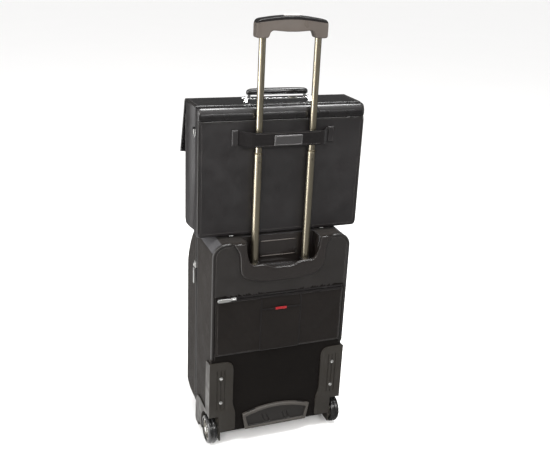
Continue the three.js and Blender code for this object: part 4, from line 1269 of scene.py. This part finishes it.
def make_flap():
    half = flap_high[0]
    path = flap_path()
    inward = flap_inner_side(path)
    outer = path
    inner = offset_path(path, inward * (FLAP_TOP - MOUTH - 0.4))
    middle = (outer + inner) / 2
    round_end = middle[-1] + (outer[-1] - outer[-2]) * 0.12
    right_end = [half - 5, half - 2, half - 0.6, half]
    rings = []
    left_end = [-x for x in right_end[::-1]]
    for x in np.concatenate([left_end, np.linspace(-half + 12, half - 12, 40), right_end]):
        pinch = 0.42 * max(1 - (half - abs(x)) / 2.0, 0) ** 2
        top_side = outer + (middle - outer) * pinch * 2
        low_side = inner + (middle - inner) * pinch * 2
        rings.append([(x, *p) for p in np.vstack([top_side, round_end, low_side[::-1]])])
    flap = lofted("briefcase_flap_leather", rings, "gloss_leather")
    finish(flap, "flap", "gloss_leather", "briefcase_flap")
    raised = offset_path(path, -inward * 0.05)
    normals = offset_path(path, -inward) - path
    edge = offset_path(path, inward * 1.9)
    last = len(path) - 3
    for name, side in SIDES:
        lane = np.array([(side * (half - 7), *p) for p in raised[:last]])
        finish(stitching_along(f"flap_stitches_{name}", lane, normals[:last]), "flap", "gloss_leather")
        line = [(side * (half - 1.9), *p) for p in edge]
        piping(f"flap_piping_{name}", line, 2.1, "flap", "gloss_leather", sides=12)
    piping("flap_hem", across(-half + 3, half - 3, *edge[-1], 40), 2.1, "flap", "gloss_leather", sides=12)
    lane = across(-half + 8, half - 8, *raised[last], 60)
    sew("flap_hem_stitches", lane, (0, *normals[last]), "flap", "gloss_leather")


def flap_inner_side(path):
    """Which way offset_path moves towards the bag: 1 or -1."""
    trial = offset_path(path, 1.0)
    return 1 if trial[3][1] < path[3][1] else -1


def stitching_along(name, path, normals, pitch=4.2):
    """Stitches on a curved face, with the face's direction (y, z) at each point of the path."""
    at = distances(path)
    count = int(at[-1] / pitch)
    places = (np.arange(count) + 0.5) * at[-1] / count
    return stitching(name, path, np.column_stack([np.zeros(count), sampled(places, at, normals)]), pitch)


def make_carry_grip():
    low, high = span("carry_grip")
    centre_y, centre_z, half = (low[1] + high[1]) / 2, (low[2] + high[2]) / 2, high[0]
    rings = []
    for t in np.concatenate([[0.0, 0.01, 0.03], np.linspace(0.06, 0.94, 40), [0.97, 0.99, 1.0]]):
        x = low[0] + t * (high[0] - low[0])
        size = min(1.0, 0.55 + 0.45 * math.sqrt(min((half - abs(x)) / 9, 1)))
        thick, tall = 9.0 * size * (0.86 + 0.14 * math.cos(math.pi * x / half)), 8.6 * size
        lift = centre_z - 2.0 * (abs(x) / half) ** 4 + 0.6
        ring = []
        for a in np.linspace(0, 2 * math.pi, 20, endpoint=False):
            rise = math.sin(a) * (1 if math.sin(a) > 0 else 0.8)
            ring.append((x, centre_y + thick * math.cos(a), lift + tall * rise))
        rings.append(ring)
    grip = lofted("carry_grip_leather", rings, "gloss_leather")
    finish(grip, "carry_handle", "gloss_leather", "carry_grip")
    seam = across(-half + 12, half - 12, centre_y, centre_z - 6.3, 30)
    piping("carry_grip_seam", seam, 1.0, "carry_handle", "gloss_leather")


def make_top_handle():
    """A padded panel made upright, then laid on the case with its crown upwards."""
    low, high = span("top_handle")
    flat_low, flat_high = (low[0], 0, low[1]), (high[0], 0, high[1])
    handle = panel("top_handle_leather", flat_low, flat_high, 0, 2.6, 1.0, "leather", corner=5, waves=0.2,
                   seed=6)
    for vertex in handle.data.vertices:
        x, y, z = vertex.co
        vertex.co = (x, z, y + low[2] * MM)
    handle.data.update()
    face_outward(handle)
    finish(handle, "case", "leather", "top_handle")
    row = [(x, z, y) for x, y, z in rim_path(flat_low, flat_high, high[2] - 0.9, 4)]
    sew("top_handle_stitches", row, (0, 0, 1), "case")


def make_strap():
    """The strap behind the handle's tubes, bent inwards at its ends to the patches that hold it."""
    low, high = span("trolley_strap")
    base, face, thick = BRIEFCASE_BACK + 0.3, high[1], 2.5
    flat = span("grip_body")[1][0] + 6
    end = flat + 22
    z0, z1 = low[2] + 2, high[2] - 2
    bend = [(-end - 8, base + thick / 2), (-end + 1, base + thick / 2), (-end + 3, base + thick / 2 + 0.6),
            (-flat - 1.5, face - 4.8), (-flat + 0.5, face - 2.4), (-flat + 4, face - thick / 2)]
    middle = [(x, face - thick / 2 + 0.25 * math.sin(x * 0.05)) for x in np.linspace(-flat + 9, flat - 9, 34)]
    path = np.array(bend + middle + [(-x, y) for x, y in bend[::-1]])
    normals = offset_path(path, 1.0) - path
    normals *= np.where(normals[:, 1:] < 0, -1, 1)
    heights = np.linspace(z0, z1, 11)
    rings = []
    for p, n in zip(path, normals):
        ribs = 0.2 * np.cos((heights - z0) / (z1 - z0) * 6 * math.pi)
        outer = [(*(p + n * (thick / 2 - 0.25 + rib)), z) for rib, z in zip(ribs, heights)]
        rings.append(outer + [(*(p - n * (thick / 2 - 0.15)), z) for z in heights[::-1]])
    strap = lofted("strap_webbing", rings, "webbing")
    finish(strap, "briefcase", "webbing", "trolley_strap")
    for name, side in SIDES:
        x0, x1 = sorted((side * (end - 1), side * (end + 15)))
        patch_low, patch_high = (x0, 0, low[2]), (x1, 0, high[2])
        patch = panel(f"strap_patch_{name}", patch_low, patch_high, base, 3.4, 0.5, "leather",
                      corner=2.5, waves=0.15)
        finish(patch, "briefcase", "leather")
        rim = rim_path(patch_low, patch_high, base + 3.6, 2.8, 2)
        row = stitching(f"patch_stitches_{name}", rim, (0, 1, 0), pitch=3.4, length=2.3)
        finish(row, "briefcase", "leather")
    for name, z in (("low", z0 + 3), ("high", z1 - 3)):
        lane = across(-flat + 10, flat - 10, face + 0.1, z, 30)
        sew(f"strap_stitches_{name}", lane, (0, 1, 0), "briefcase", "webbing")


def make_strap_plate():
    dress("strap_plate", "gunmetal", 0.5)
    low, high = span("strap_plate")
    frame_path = rim_path(low, high, high[1] - 0.1, 2.6, 2.0)
    border = tube("plate_border", frame_path[:-1], 0.6, "gunmetal", closed=True, sides=8)
    finish(border, "briefcase", "gunmetal")


# ------------------------------------------------------------------ the whole scene

add_camera()
make_materials()
add_studio()
dress_rigid_nodes()
dress_bezel()
dress_skid_guard()
finish_small_cad()
make_tyres()
make_handle_tubes()
make_button_spring()
make_recess_highlight_lines()
make_case_shell()
make_lid()
make_zips()
make_hinge_strip()
make_piping()
make_back_pocket()
make_front_pocket()
make_briefcase_body()
make_briefcase_pocket()
make_flap()
make_carry_grip()
make_top_handle()
make_strap()
make_strap_plate()

plain = lambda corners: [[float(value) for value in corner] for corner in corners]
{"cad": plain(cad_bounds), "visual": plain(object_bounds())}
